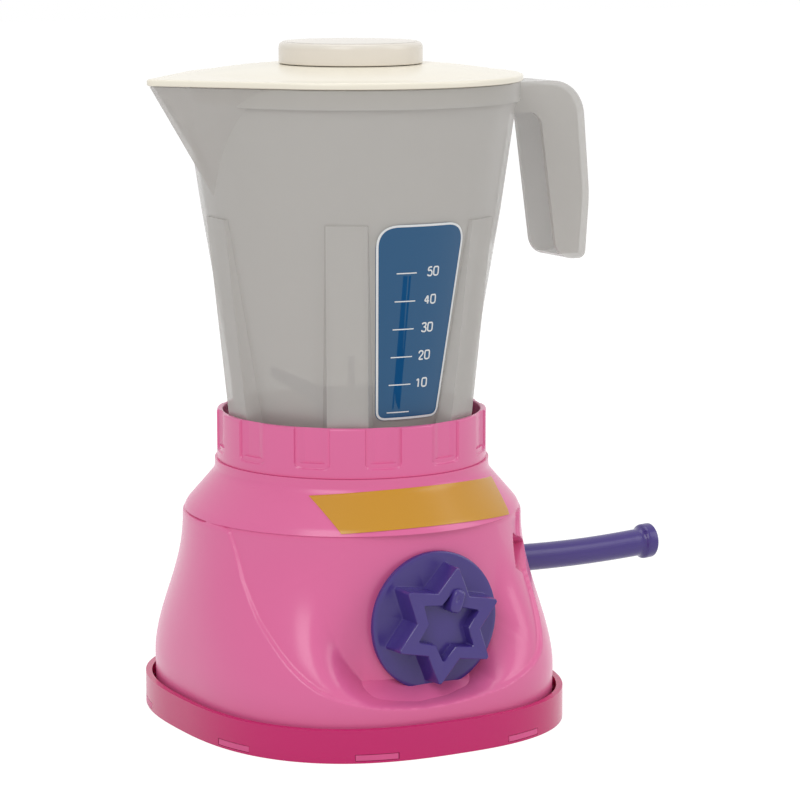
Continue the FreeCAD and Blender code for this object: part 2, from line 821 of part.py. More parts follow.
def dogs(low, high, first_angle):
    """Blocks that stand on one half of the coupling and drive those of the other half."""
    blocks = []
    ring = tube(coupling_radius, dog_inner_radius, low, high)
    reach = coupling_radius * 2
    half = math.radians(dog_angle / 2)
    sector = prism("top", ((0, 0), (reach * math.cos(half), -reach * math.sin(half)),
                           (reach * math.cos(half), reach * math.sin(half))), low, high)
    for index in range(dog_count):
        blocks.append(turned(sector, first_angle + index * 360 / dog_count).common(ring))
    return blocks


def drive_coupling():
    plate = cylinder(coupling_radius, coupling_low, coupling_face)
    half = plate.fuse(dogs(coupling_face, coupling_face + dog_length, 0))
    return half.cut(cylinder(drive_radius + running_gap, coupling_low - 1,
                             coupling_face + dog_length + 1))


def blade_coupling():
    plate = cylinder(coupling_radius, upper_plate_low, upper_plate_top)
    half = plate.fuse(dogs(upper_plate_low - dog_length, upper_plate_low, 180 / dog_count))
    return half.cut(cylinder(blade_shaft_radius + running_gap, upper_plate_low - dog_length - 1,
                             upper_plate_top + 1))


def jar_bush():
    sleeve = cylinder(blade_bush_radius, well_ceiling, well_top)
    flange = cylinder(blade_bush_radius + 2, upper_plate_top + seat_gap, well_ceiling)
    return sleeve.fuse(flange).cut(cylinder(blade_shaft_radius + running_gap, upper_plate_top,
                                            well_top + 1))


def blade_shaft():
    return cylinder(blade_shaft_radius, upper_plate_low, blade_hub_top - 1)


def blade_rotor():
    """A hub with paddles that spread low down and arms that sweep up and out."""
    half = blade_thickness / 2
    tip = blade_tip_radius
    knee = blade_knee_radius
    blade = prism("front", ((0, blade_root_low), (knee, blade_root_low),
                            (knee + blade_knee_slant, blade_root_top - blade_knee_drop),
                            (tip, blade_tip_low), (tip, blade_tip_top), (knee, blade_root_top),
                            (0, blade_root_top)), -half, half, (0,) + blade_rounds + (0,))
    rotor = cylinder(blade_hub_radius, blade_hub_low, blade_hub_top)
    pitch = 360 / blade_count
    for index in range(blade_count):
        rotor = rotor.fuse(turned(blade, blade_first_angle + index * pitch))
    return rotor.cut(cylinder(blade_shaft_radius + running_gap, blade_hub_low - 1, blade_hub_top - 1))


def jar_scale_label():
    gap = skin_gap
    low = label_bottom - skin_margin
    high = label_top + skin_margin
    sheet = revolved(((jar_radius(low) + gap, low), (jar_radius(low) + gap + skin, low),
                      (jar_bend_radius + gap + skin, jar_bend_height),
                      (jar_radius(high) + gap + skin, high), (jar_radius(high) + gap, high),
                      (jar_bend_radius + gap, jar_bend_height)))
    shape = prism("front", ((-label_top_half, label_top), (label_top_half, label_top),
                            (label_bottom_half, label_bottom), (-label_bottom_half, label_bottom)),
                  -rim_radius, -jar_base_radius / 2,
                  (label_top_round, label_top_round, label_bottom_round, label_bottom_round))
    return sheet.common(shape)


def shoulder_band_label():
    sheet = shell_body(-skin_gap - skin).cut(shell_body(-skin_gap))
    shape = prism("front", ((band_top_left, band_top), (band_top_right, band_top),
                            (band_bottom_right, band_bottom), (band_bottom_left, band_bottom)),
                  -tray_half_depth, -neck_radius / 2, band_corner)
    return sheet.common(shape)


nodes = {
    "base_plate": base_plate,
    "housing": housing,
    "jar_collar": jar_collar,
    "shoulder_band_label": shoulder_band_label,
    "crank_bush": crank_bush,
    "gear_frame": gear_frame,
    "frame_screws": frame_screws,
    "drive_foot_bush": drive_foot_bush,
    "drive_top_bush": drive_top_bush,
    "star_knob": star_knob,
    "knob_retainer": knob_retainer,
    "crank": crank,
    "crank_shaft": crank_shaft,
    "crown_gear": crown_gear,
    "crank_clip": crank_clip,
    "drive_shaft": drive_shaft,
    "drive_pinion": drive_pinion,
    "drive_coupling": drive_coupling,
    "jar": jar,
    "jar_bush": jar_bush,
    "jar_scale_label": jar_scale_label,
    "blade_coupling": blade_coupling,
    "blade_shaft": blade_shaft,
    "blade_rotor": blade_rotor,
    "lid": lid,
    "filler_cap": filler_cap,
}

os.makedirs("parts", exist_ok=True)
for name, build in nodes.items():
    shape = build()
    shape.exportStep("parts/" + name + ".step")
    print(name, "solids", len(shape.Solids), "volume", round(shape.Volume, 1), "valid", shape.isValid())
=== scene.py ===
import math

import bpy
import numpy as np
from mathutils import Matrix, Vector


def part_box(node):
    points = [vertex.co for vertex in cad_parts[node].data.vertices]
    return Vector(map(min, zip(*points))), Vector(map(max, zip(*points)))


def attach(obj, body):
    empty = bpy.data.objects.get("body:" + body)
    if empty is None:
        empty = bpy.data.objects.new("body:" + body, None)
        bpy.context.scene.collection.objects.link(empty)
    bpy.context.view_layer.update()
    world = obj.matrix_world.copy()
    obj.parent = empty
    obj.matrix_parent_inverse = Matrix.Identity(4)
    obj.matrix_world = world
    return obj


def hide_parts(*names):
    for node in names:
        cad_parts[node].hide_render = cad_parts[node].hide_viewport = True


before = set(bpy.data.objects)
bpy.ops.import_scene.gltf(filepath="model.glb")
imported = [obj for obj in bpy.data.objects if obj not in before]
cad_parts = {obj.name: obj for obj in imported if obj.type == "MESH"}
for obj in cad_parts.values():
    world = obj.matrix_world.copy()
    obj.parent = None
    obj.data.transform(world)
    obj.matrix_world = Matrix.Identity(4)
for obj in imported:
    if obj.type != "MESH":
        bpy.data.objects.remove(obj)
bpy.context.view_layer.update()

bl_info = {
    "name": "Toy Blender",
    "version": (1, 0, 0),
    "blender": (4, 5, 0),
    "location": "3D View > Sidebar > Toy Blender",
    "description": "Dresses a child's toy blender: shell, jar, lid, knob, crank and stickers",
    "category": "Object",
}

MM = 0.001


def screen(red, green, blue):
    """A colour as it looks on a screen, 0 to 255, turned into the linear value of shaders."""
    value = np.array([red, green, blue]) / 255
    return tuple(np.where(value <= 0.04045, value / 12.92, ((value + 0.055) / 1.055) ** 2.4))


# Meshes from arrays


def grid_faces(around, along, wrap_around=True, wrap_along=False):
    """Quads of a grid stored row by row; a wrapped direction joins its last line to its first."""
    i, j = np.meshgrid(np.arange(around if wrap_around else around - 1),
                       np.arange(along if wrap_along else along - 1), indexing="ij")
    next_i, next_j = (i + 1) % around, (j + 1) % along
    quads = (i * along + j, next_i * along + j, next_i * along + next_j, i * along + next_j)
    return np.stack(quads, -1).reshape(-1, 4)


def turned_surface(points, low_pole=None, high_pole=None):
    """A surface whose rows run round an axis; each end closes in a fan on its pole, or both ends
    meet when no pole is given. Returns vertices and faces."""
    around, along = points.shape[:2]
    vertices = points.reshape(-1, 3)
    faces = grid_faces(around, along, True, low_pole is None).tolist()
    here = np.arange(around)
    after = (here + 1) % around
    if low_pole is not None:
        pole = np.full(around, len(vertices))
        vertices = np.vstack([vertices, low_pole, high_pole])
        faces += np.stack([pole, after * along, here * along], -1).tolist()
        last = along - 1
        faces += np.stack([here * along + last, after * along + last, pole + 1], -1).tolist()
    return vertices, faces


def joined(parts):
    """Several surfaces as one list of vertices and faces."""
    vertices, faces, start = [], [], 0
    for points, polygons in parts:
        vertices.append(points)
        faces += [[corner + start for corner in polygon] for polygon in polygons]
        start += len(points)
    return np.vstack(vertices), faces


def make_piece(name, surface, material, body, replaced=(), crease=35.0):
    """Puts vertices and faces, in millimetres, into a smooth-shaded mesh that rides on a body."""
    vertices, faces = surface
    mesh = bpy.data.meshes.new(name)
    mesh.from_pydata((np.asarray(vertices) * MM).tolist(), [], faces)
    mesh.validate()
    mesh.polygons.foreach_set("use_smooth", np.ones(len(mesh.polygons), bool))
    mesh.set_sharp_from_angle(angle=math.radians(crease))
    mesh.update()
    piece = bpy.data.objects.new(name, mesh)
    bpy.context.scene.collection.objects.link(piece)
    mesh.materials.append(material)
    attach(piece, body)
    if replaced:
        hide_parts(*replaced)
    return piece


def dress(node, material):
    """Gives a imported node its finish."""
    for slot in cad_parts[node].material_slots:
        slot.material = material


def box_mm(node):
    """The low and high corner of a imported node's box, in millimetres."""
    low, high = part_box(node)
    return np.array(low) / MM, np.array(high) / MM


def smooth_step(value, low, high):
    """0 below low, 1 above high, and a cubic between them that starts and ends level."""
    share = np.clip((value - low) / (high - low), 0, 1)
    return share * share * (3 - 2 * share)


def squarish(wave, power):
    """A sine or cosine wave whose size is raised to a power below one, which widens its crests."""
    return np.sign(wave) * np.abs(wave) ** power


def corner_curve(before, corner, after, radius, steps):
    """A quadratic curve round a corner, between the points that lie the radius away from the
    corner on its two sides."""
    t = np.linspace(0, 1, steps)[:, None]
    back, ahead = before - corner, after - corner
    start = corner + back / np.linalg.norm(back) * radius
    end = corner + ahead / np.linalg.norm(ahead) * radius
    return (1 - t) ** 2 * start + 2 * t * (1 - t) * corner + t ** 2 * end


def rounded(points, radii, steps=5):
    """A profile whose inner corners are curves of the given radii; a radius of 0 stays sharp."""
    points = np.asarray(points, float)
    out = [points[:1]]
    for index in range(1, len(points) - 1):
        corner = points[index]
        out.append(corner_curve(points[index - 1], corner, points[index + 1], radii[index], steps)
                   if radii[index] else corner[None])
    out.append(points[-1:])
    return np.vstack(out)


def around_axis(angles, radius, height):
    """Points round the upright axis: a profile of radii and heights at each angle, where the
    radii are one row if they are the same all round."""
    x = np.cos(angles)[:, None] * radius
    y = np.sin(angles)[:, None] * radius
    return np.stack([x, y, np.broadcast_to(height, x.shape)], -1)


def front_point(x, z, radius):
    """The point at x and height z on the front of a round form of the given radius."""
    return np.stack([x, -np.sqrt(radius ** 2 - x ** 2), z], -1)


def full_turn(count, start=0.0):
    """Evenly spaced angles of one turn, without the last, which would repeat the first."""
    return start + np.arange(count) * 2 * math.pi / count


# Shader groups


def feed(tree, socket, value):
    """Sets a socket to a plain value, or links another node's output to it."""
    if isinstance(value, (int, float, tuple)):
        socket.default_value = value
    else:
        tree.links.new(value, socket)


def new_group(name, inputs, outputs):
    """An empty shader group with named sockets, and its first and last node."""
    group = bpy.data.node_groups.new(name, "ShaderNodeTree")
    for label, kind, value in inputs:
        socket = group.interface.new_socket(name=label, in_out="INPUT", socket_type=kind)
        if value is not None:
            socket.default_value = value
    for label, kind in outputs:
        group.interface.new_socket(name=label, in_out="OUTPUT", socket_type=kind)
    start = group.nodes.new("NodeGroupInput")
    end = group.nodes.new("NodeGroupOutput")
    return group, start, end


def math_node(tree, operation, first, second):
    node = tree.nodes.new("ShaderNodeMath")
    node.operation = operation
    feed(tree, node.inputs[0], first)
    feed(tree, node.inputs[1], second)
    return node.outputs[0]


def noise_node(tree, vector, scale, detail=3.0, roughness=0.5):
    node = tree.nodes.new("ShaderNodeTexNoise")
    node.inputs["Detail"].default_value = detail
    node.inputs["Roughness"].default_value = roughness
    feed(tree, node.inputs["Scale"], scale)
    feed(tree, node.inputs["Vector"], vector)
    return node.outputs["Fac"]


def range_node(tree, value, low, high):
    """0 below low, 1 above high and a straight rise between them."""
    node = tree.nodes.new("ShaderNodeMapRange")
    feed(tree, node.inputs["Value"], value)
    feed(tree, node.inputs["From Min"], low)
    feed(tree, node.inputs["From Max"], high)
    return node.outputs["Result"]


def colour_mix(tree, share, first, second):
    node = tree.nodes.new("ShaderNodeMix")
    node.data_type = "RGBA"
    for index, value in ((0, share), (6, first), (7, second)):
        feed(tree, node.inputs[index], value)
    return node.outputs[2]


def moulding_group():
    """Moulded plastic: slow clouds shift the colour a little, finer ones the gloss, and a fine
    grain with a slower flow ripple gives the height."""
    group, start, end = new_group(
        "moulded_plastic",
        (("Vector", "NodeSocketVector", None), ("Colour", "NodeSocketColor", None),
         ("Deep Colour", "NodeSocketColor", None), ("Cloud Scale", "NodeSocketFloat", 30.0),
         ("Roughness", "NodeSocketFloat", 0.3), ("Roughness Spread", "NodeSocketFloat", 0.08),
         ("Grain Scale", "NodeSocketFloat", 900.0)),
        (("Colour", "NodeSocketColor"), ("Roughness", "NodeSocketFloat"),
         ("Height", "NodeSocketFloat")))
    where = start.outputs["Vector"]
    clouds = noise_node(group, where, start.outputs["Cloud Scale"])
    share = range_node(group, clouds, 0.35, 0.7)
    colour = colour_mix(group, share, start.outputs["Colour"], start.outputs["Deep Colour"])
    fine = noise_node(group, where, math_node(group, "MULTIPLY", start.outputs["Cloud Scale"], 5.0))
    spread = math_node(group, "MULTIPLY", start.outputs["Roughness Spread"],
                       math_node(group, "SUBTRACT", fine, 0.5))
    grain = noise_node(group, where, start.outputs["Grain Scale"], 2.0)
    ripple = math_node(group, "MULTIPLY", clouds, 2.0)
    group.links.new(colour, end.inputs["Colour"])
    group.links.new(math_node(group, "ADD", start.outputs["Roughness"], spread),
                    end.inputs["Roughness"])
    group.links.new(math_node(group, "ADD", grain, ripple), end.inputs["Height"])
    return group


def scuff_group():
    """Handling marks: long thin noise stretched along one direction, kept only where it peaks."""
    group, start, end = new_group(
        "handling_marks",
        (("Vector", "NodeSocketVector", None), ("Scale", "NodeSocketFloat", 60.0),
         ("Amount", "NodeSocketFloat", 0.5)),
        (("Mask", "NodeSocketFloat"),))
    stretch = group.nodes.new("ShaderNodeMapping")
    stretch.inputs["Rotation"].default_value = (0.3, 0.5, 0.2)
    stretch.inputs["Scale"].default_value = (1.0, 14.0, 1.6)
    group.links.new(start.outputs["Vector"], stretch.inputs["Vector"])
    lines = noise_node(group, stretch.outputs[0], start.outputs["Scale"], 4.0)
    patches = noise_node(group, start.outputs["Vector"], 22.0)
    mask = math_node(group, "MULTIPLY", range_node(group, lines, 0.62, 0.72),
                     range_node(group, patches, 0.5, 0.65))
    group.links.new(math_node(group, "MULTIPLY", mask, start.outputs["Amount"]),
                    end.inputs["Mask"])
    return group


def fleck_group():
    """Small round flecks: cells whose centre is near show as spots, thinned out by slow clouds."""
    group, start, end = new_group(
        "flecks", (("Vector", "NodeSocketVector", None), ("Scale", "NodeSocketFloat", 300.0),
                   ("Size", "NodeSocketFloat", 0.2)),
        (("Mask", "NodeSocketFloat"),))
    cells = group.nodes.new("ShaderNodeTexVoronoi")
    group.links.new(start.outputs["Vector"], cells.inputs["Vector"])
    group.links.new(start.outputs["Scale"], cells.inputs["Scale"])
    spots = math_node(group, "LESS_THAN", cells.outputs["Distance"], start.outputs["Size"])
    patches = range_node(group, noise_node(group, start.outputs["Vector"], 45.0), 0.52, 0.6)
    group.links.new(math_node(group, "MULTIPLY", spots, patches), end.inputs["Mask"])
    return group


def shared_group(name, build):
    """The group of this name, built the first time that it is asked for."""
    return bpy.data.node_groups.get(name) or build()


def place_group(tree, group, vector, **values):
    """Places a group in a material, with its own values at the named inputs."""
    node = tree.nodes.new("ShaderNodeGroup")
    node.node_tree = group
    tree.links.new(vector, node.inputs["Vector"])
    for label, value in values.items():
        socket = node.inputs[label.replace("_", " ")]
        socket.default_value = (*value, 1.0) if isinstance(value, tuple) else value
    return node


# Plastics and films


def look():
    """The colours that the user has set."""
    return bpy.context.scene.toy_blender_colours


def shade(colour, share):
    """A colour with each of its parts multiplied by the same share."""
    return [part * share for part in colour]


def plastic(name, colour, deep, roughness=0.3, cloud=30.0, spread=0.1, bump=0.02, grain=900.0,
            scuffs=0.3, coat=0.0, gloss=0.3, fixed=None):
    """A moulded plastic with its own clouds, gloss, grain and handling marks. A material that is
    already there under the name is returned as it is."""
    material = bpy.data.materials.get(name)
    if material:
        return material
    material = bpy.data.materials.new(name)
    material.use_nodes = True
    tree = material.node_tree
    shader = tree.nodes["Principled BSDF"]
    where = tree.nodes.new("ShaderNodeTexCoord").outputs["Object"]
    skin = place_group(tree, shared_group("moulded_plastic", moulding_group), where,
                       Colour=tuple(colour), Deep_Colour=tuple(deep), Cloud_Scale=cloud,
                       Roughness=roughness, Roughness_Spread=spread, Grain_Scale=grain)
    marks = place_group(tree, shared_group("handling_marks", scuff_group), where, Amount=scuffs)
    tree.links.new(skin.outputs["Colour"], shader.inputs["Base Color"])
    tree.links.new(math_node(tree, "ADD", skin.outputs["Roughness"], marks.outputs["Mask"]),
                   shader.inputs["Roughness"])
    relief = tree.nodes.new("ShaderNodeBump")
    relief.inputs["Strength"].default_value = bump
    relief.inputs["Distance"].default_value = MM
    tree.links.new(skin.outputs["Height"], relief.inputs["Height"])
    tree.links.new(relief.outputs[0], shader.inputs["Normal"])
    shader.inputs["Coat Weight"].default_value = coat
    shader.inputs["Coat Roughness"].default_value = 0.08
    shader.inputs["Specular IOR Level"].default_value = gloss
    for label, value in (fixed or {}).items():
        shader.inputs[label].default_value = value
    return material


def pink_shell():
    return plastic("shell_pink", look().shell, shade(look().shell, 0.93), roughness=0.24,
                   cloud=14.0, bump=0.035, scuffs=0.08, coat=0.05, gloss=0.35)


def magenta_tray():
    return plastic("tray_magenta", look().tray, shade(look().tray, 0.85), roughness=0.36,
                   cloud=22.0, bump=0.05, scuffs=0.2, gloss=0.12)


def purple_plastic():
    return plastic("purple_plastic", look().purple, shade(look().purple, 0.8), roughness=0.33,
                   cloud=45.0, bump=0.05, scuffs=0.25, gloss=0.16)


def cream_plastic():
    return plastic("lid_cream", look().lid, shade(look().lid, 0.95), roughness=0.38,
                   cloud=20.0, bump=0.03, scuffs=0.15)


def cap_plastic():
    return plastic("cap_cream", look().cap, shade(look().cap, 0.95), roughness=0.36,
                   cloud=26.0, bump=0.03, scuffs=0.15)


def milky_plastic():
    return plastic("milky_jar", look().jar, shade(look().jar, 0.97), roughness=0.3,
                   cloud=25.0, spread=0.06, bump=0.03, scuffs=0.1, fixed={"Alpha": 0.4})


def nylon():
    return plastic("white_nylon", screen(228, 226, 218), screen(214, 211, 200), roughness=0.45,
                   cloud=60.0, bump=0.04)


def steel():
    return plastic("zinc_steel", screen(176, 178, 180), screen(150, 152, 156), roughness=0.3,
                   cloud=120.0, spread=0.2, grain=2500.0, scuffs=0.5, fixed={"Metallic": 1.0})


def sticker(name, colour, deep, roughness, fleck_colour=None, gloss=0.03):
    """A printed film: the plastic's clouds with small lighter flecks where a colour is given."""
    made = bpy.data.materials.get(name)
    material = plastic(name, colour, deep, roughness=roughness, cloud=60.0, spread=0.06,
                       bump=0.015, grain=1500.0, scuffs=0.1, gloss=gloss)
    if made or fleck_colour is None:
        return material
    tree = material.node_tree
    shader = tree.nodes["Principled BSDF"]
    where = next(n for n in tree.nodes if n.type == "TEX_COORD").outputs["Object"]
    spots = place_group(tree, shared_group("flecks", fleck_group), where, Scale=420.0, Size=0.28)
    under = shader.inputs["Base Color"].links[0].from_socket
    tree.links.new(colour_mix(tree, spots.outputs["Mask"], under, (*fleck_colour, 1.0)),
                   shader.inputs["Base Color"])
    return material


# Settings that a user would change


def length_setting(name, description, default):
    return bpy.props.FloatProperty(name=name, description=description, default=default,
                                   unit="LENGTH")


def colour_setting(name, description, *default):
    return bpy.props.FloatVectorProperty(name=name, description=description, min=0, max=1,
                                         default=screen(*default), subtype="COLOR", size=3)


class ToyBlenderSizes(bpy.types.PropertyGroup):
    """Sizes of the pieces that are made here rather than carried over."""
    label_border: length_setting("Label border", "Width of the measuring label's white edge", 0.0008)
    tick_width: length_setting("Tick width", "Thickness of the measuring marks", 0.0004)
    digit_height: length_setting("Digit height", "Height of the numbers beside the marks", 0.0031)
    window_depth: length_setting("Window depth", "How far the collar's windows are sunk", 0.0015)
    star_height: length_setting("Star height", "How far the star stands off the knob's disc", 0.0099)
    grip_bow: length_setting("Grip bow", "How far the grip's middle sags below its ends", 0.0008)


class ToyBlenderColours(bpy.types.PropertyGroup):
    """Colours of the plastics and stickers."""
    shell: colour_setting("Shell", "Pink of the foot and collar", 234, 98, 156)
    tray: colour_setting("Tray", "Magenta of the tray under the foot", 208, 0, 106)
    purple: colour_setting("Purple", "Knob, crank and paddles", 66, 46, 130)
    jar: colour_setting("Jar", "Milky plastic of the jar", 206, 199, 194)
    lid: colour_setting("Lid", "Cream of the lid", 244, 238, 221)
    cap: colour_setting("Cap", "Cream of the filler cap", 238, 233, 218)
    label: colour_setting("Label", "Blue of the measuring label", 0, 54, 104)
    band: colour_setting("Band", "Mustard of the shoulder band", 212, 152, 2)


# The stage


CAMERA_PLACE = (-0.5463, -1.0146, 0.30285)
CAMERA_AIM = (0.48157, 0.86178, -0.15945)
CAMERA_LENS = 141.1
LAMP_TARGET = (0, 0, 0.11)
LAMPS = (("key_lamp", (-1.3, -1.2, 1.5), 1.2, 1.3, 16.0),
         ("fill_lamp", (1.4, -1.0, 1.0), 0.9, 1.4, 7.0),
         ("top_lamp", (0.1, 0.3, 1.9), 1.2, 1.2, 7.0))
FLOOR_REACH = 6.0
FLOOR_DROP = 0.0002          # keeps the floor clear of the tray's underside
WHITE = (1, 1, 1, 1)


def place_on_stage(context, name, data, place, aim):
    """Stands a camera or lamp at a place and points it along a direction."""
    holder = bpy.data.objects.new(name, data)
    context.scene.collection.objects.link(holder)
    holder.location = place
    holder.rotation_euler = aim.to_track_quat("-Z", "Y").to_euler()
    return holder


def plain_shader(tree, kind, colour, strength=None):
    """A diffuse, emission or background shader of one colour."""
    node = tree.nodes.new(kind)
    node.inputs["Color"].default_value = colour
    if strength is not None:
        node.inputs["Strength"].default_value = strength
    return node.outputs[0]


def split_by_ray(tree, end_kind, falling, seen):
    """Shows the second shader to camera, glossy and transmission rays, and the first to the
    light that falls on the object."""
    path = tree.nodes.new("ShaderNodeLightPath")
    share = math_node(tree, "MAXIMUM", path.outputs["Is Camera Ray"],
                      path.outputs["Is Glossy Ray"])
    share = math_node(tree, "MAXIMUM", share, path.outputs["Is Transmission Ray"])
    choice = tree.nodes.new("ShaderNodeMixShader")
    for socket, source in zip(choice.inputs, (share, falling, seen)):
        tree.links.new(source, socket)
    tree.links.new(choice.outputs[0], tree.nodes.new(end_kind).inputs[0])


class TOYBLENDER_OT_stage(bpy.types.Operator):
    """Make the camera, the pale floor, the soft lamps and the white surroundings"""
    bl_idname = "toy_blender.stage"
    bl_label = "Stage"

    def execute(self, context):
        camera = bpy.data.cameras.new("camera")
        camera.lens = CAMERA_LENS
        camera.sensor_width = 36.0
        camera.clip_end = 20.0
        context.scene.camera = place_on_stage(context, "camera", camera, CAMERA_PLACE,
                                              Vector(CAMERA_AIM))
        for name, place, width, height, power in LAMPS:
            light = bpy.data.lights.new(name, "AREA")
            light.shape = "RECTANGLE"
            light.size, light.size_y = width, height
            light.energy = power
            place_on_stage(context, name, light, place, Vector(LAMP_TARGET) - Vector(place))
        self.floor(context)
        self.surroundings(context)
        context.scene.view_settings.view_transform = "Standard"
        return {"FINISHED"}

    def floor(self, context):
        """A flat square that scatters light on the object and glows softly white when seen."""
        side = np.linspace(-FLOOR_REACH, FLOOR_REACH, 3)
        x, y = np.meshgrid(side, side, indexing="ij")
        points = np.stack([x, y, np.full_like(x, -FLOOR_DROP)], -1)
        mesh = bpy.data.meshes.new("floor")
        mesh.from_pydata(points.reshape(-1, 3).tolist(), [],
                         grid_faces(3, 3, False, False).tolist())
        floor = bpy.data.objects.new("floor", mesh)
        context.scene.collection.objects.link(floor)
        material = bpy.data.materials.new("pale_floor")
        material.use_nodes = True
        tree = material.node_tree
        tree.nodes.clear()
        both = tree.nodes.new("ShaderNodeAddShader")
        faint = plain_shader(tree, "ShaderNodeBsdfDiffuse", (0.28, 0.28, 0.28, 1))
        glow = plain_shader(tree, "ShaderNodeEmission", WHITE, 0.9)
        tree.links.new(faint, both.inputs[0])
        tree.links.new(glow, both.inputs[1])
        split_by_ray(tree, "ShaderNodeOutputMaterial",
                     plain_shader(tree, "ShaderNodeBsdfDiffuse", (0.8, 0.8, 0.8, 1)),
                     both.outputs[0])
        mesh.materials.append(material)

    def surroundings(self, context):
        """Soft light on the object, and plain white where the surroundings are seen."""
        world = bpy.data.worlds.new("surroundings")
        world.use_nodes = True
        context.scene.world = world
        tree = world.node_tree
        tree.nodes.clear()
        split_by_ray(tree, "ShaderNodeOutputWorld",
                     plain_shader(tree, "ShaderNodeBackground", (1.0, 0.99, 0.98, 1), 0.5),
                     plain_shader(tree, "ShaderNodeBackground", WHITE, 1.0))


# The foot


TRAY_HALF_WIDTH = 72.2
TRAY_HALF_DEPTH = 78.5
FOOT_INSET = 3.6             # from the tray's edge to the shell's outside
CORNER_POWER = 2.55          # how squarish the foot is; 2 would be an ellipse
FLARE_LOW = 17
WAIST_HEIGHT = 75
WAIST_RADIUS = 62.9
SHOULDER_ROUND = 8.5
SHOULDER_SLOPE = math.radians(41)
NECK_RADIUS = 51.0
NECK_BLEND = 0.5
PANEL_RADIUS = 75.0
PANEL_AXIS_BACK = 14.5
LEDGE_PROUD = 0.3
SLOT_TURN = math.radians(40)
SLOT_DEPTH = 5.0
SLOT_CORNERS = ((-6.5, 69.6), (-10.3, 58.1), (-4.4, 55.0), (8.4, 63.6))
TAB_TURNS = (22, 62, 118, 158)
TAB_HALF_WIDTH = 7.7
FAR_AWAY = 1e9

# The panel's ledge on the shell: turns in degrees and heights in millimetres
LEDGE = ((-166.4, 77.2), (-163.0, 76.0), (-160.0, 69.4), (-156.0, 59.6), (-151.8, 52.8),
         (-147.8, 47.0), (-143.4, 41.8), (-139.2, 36.8), (-135.2, 32.2), (-131.2, 28.2),
         (-127.4, 25.0), (-123.0, 22.4), (-118.4, 20.6), (-112.6, 19.0), (-105.6, 18.0),
         (-98.0, 17.4), (-88.4, 18.0), (-81.0, 19.2), (-73.0, 20.6), (-66.2, 23.0),
         (-59.6, 25.6), (-54.6, 28.4), (-51.6, 31.6), (-49.4, 35.4), (-47.4, 39.6),
         (-45.8, 43.4), (-44.2, 47.6), (-42.2, 57.6), (-40.6, 67.0), (-38.0, 76.0),
         (-35.0, 77.2))
LEDGE_ARC_RADIUS = 66


def foot_radius(angles, inset=FOOT_INSET):
    """The squarish foot: a superellipse of the tray's half sizes less an inset, in polar form."""
    across = np.abs(np.cos(angles)) / (TRAY_HALF_WIDTH - inset)
    along = np.abs(np.sin(angles)) / (TRAY_HALF_DEPTH - inset)
    return (across ** CORNER_POWER + along ** CORNER_POWER) ** (-1 / CORNER_POWER)


def shoulder_radius(height):
    """Above the waist: a quarter-like arc, a cone and the upright neck."""
    start = WAIST_HEIGHT + SHOULDER_ROUND * math.sin(SHOULDER_SLOPE)
    start_radius = WAIST_RADIUS - SHOULDER_ROUND * (1 - math.cos(SHOULDER_SLOPE))
    above = np.clip(height - WAIST_HEIGHT, 0, 8.0)
    arc = WAIST_RADIUS - SHOULDER_ROUND + np.sqrt(SHOULDER_ROUND ** 2 - above ** 2)
    cone = start_radius - (height - start) * math.tan(SHOULDER_SLOPE)
    neck = np.logaddexp(cone / NECK_BLEND, NECK_RADIUS / NECK_BLEND) * NECK_BLEND
    return np.where(height < start, arc, neck)


def flare_radius(angles, heights):
    """The foot's outline fades to the round waist along half a cosine wave."""
    share = np.clip((heights - FLARE_LOW) / (WAIST_HEIGHT - FLARE_LOW), 0, 1)
    fade = (1 + np.cos(math.pi * share)) / 2
    return shoulder_radius(heights) + (foot_radius(angles) - WAIST_RADIUS) * fade


def panel_cylinder(angles):
    """The wide upright cylinder behind the knob, whose axis lies behind the jar's, in polar
    form."""
    reach = PANEL_RADIUS ** 2 - (PANEL_AXIS_BACK * np.cos(angles)) ** 2
    return PANEL_AXIS_BACK * np.sin(angles) + np.sqrt(reach)


def ledge_distance(angles, heights):
    """Distance along the shell to the panel's ledge line, positive on the panel. Angles count as
    arcs on one circle. The nearest of the line's runs gives the size, and whether the point is
    above the line gives the side."""
    line, level = np.array(LEDGE).T
    line = np.radians(line) * LEDGE_ARC_RADIUS
    line = np.concatenate([line[:1] - 40, line, line[-1:] + 40])
    level = np.concatenate([level[:1] + 0.6, level, level[-1:]])
    fine = np.linspace(0, len(line) - 1, 700)
    line, level = (np.interp(fine, np.arange(len(line)), row) for row in (line, level))
    arc = angles * LEDGE_ARC_RADIUS
    nearest = np.full(arc.shape, FAR_AWAY)
    a = np.stack([line[:-1], level[:-1]], -1)
    b = np.stack([line[1:], level[1:]], -1)
    run = b - a
    length = (run ** 2).sum(1)
    flat = np.stack([arc.ravel(), heights.ravel()], -1)
    for piece in range(0, len(a), 50):
        part = slice(piece, piece + 50)
        gap = flat[:, None] - a[None, part]
        share = np.clip((gap * run[None, part]).sum(2) / length[None, part], 0, 1)
        away = np.linalg.norm(gap - share[..., None] * run[None, part], axis=2).min(1)
        nearest = np.minimum(nearest, away.reshape(arc.shape))
    limit = np.interp(arc, line, level)
    return np.where(heights > limit, nearest, -nearest)


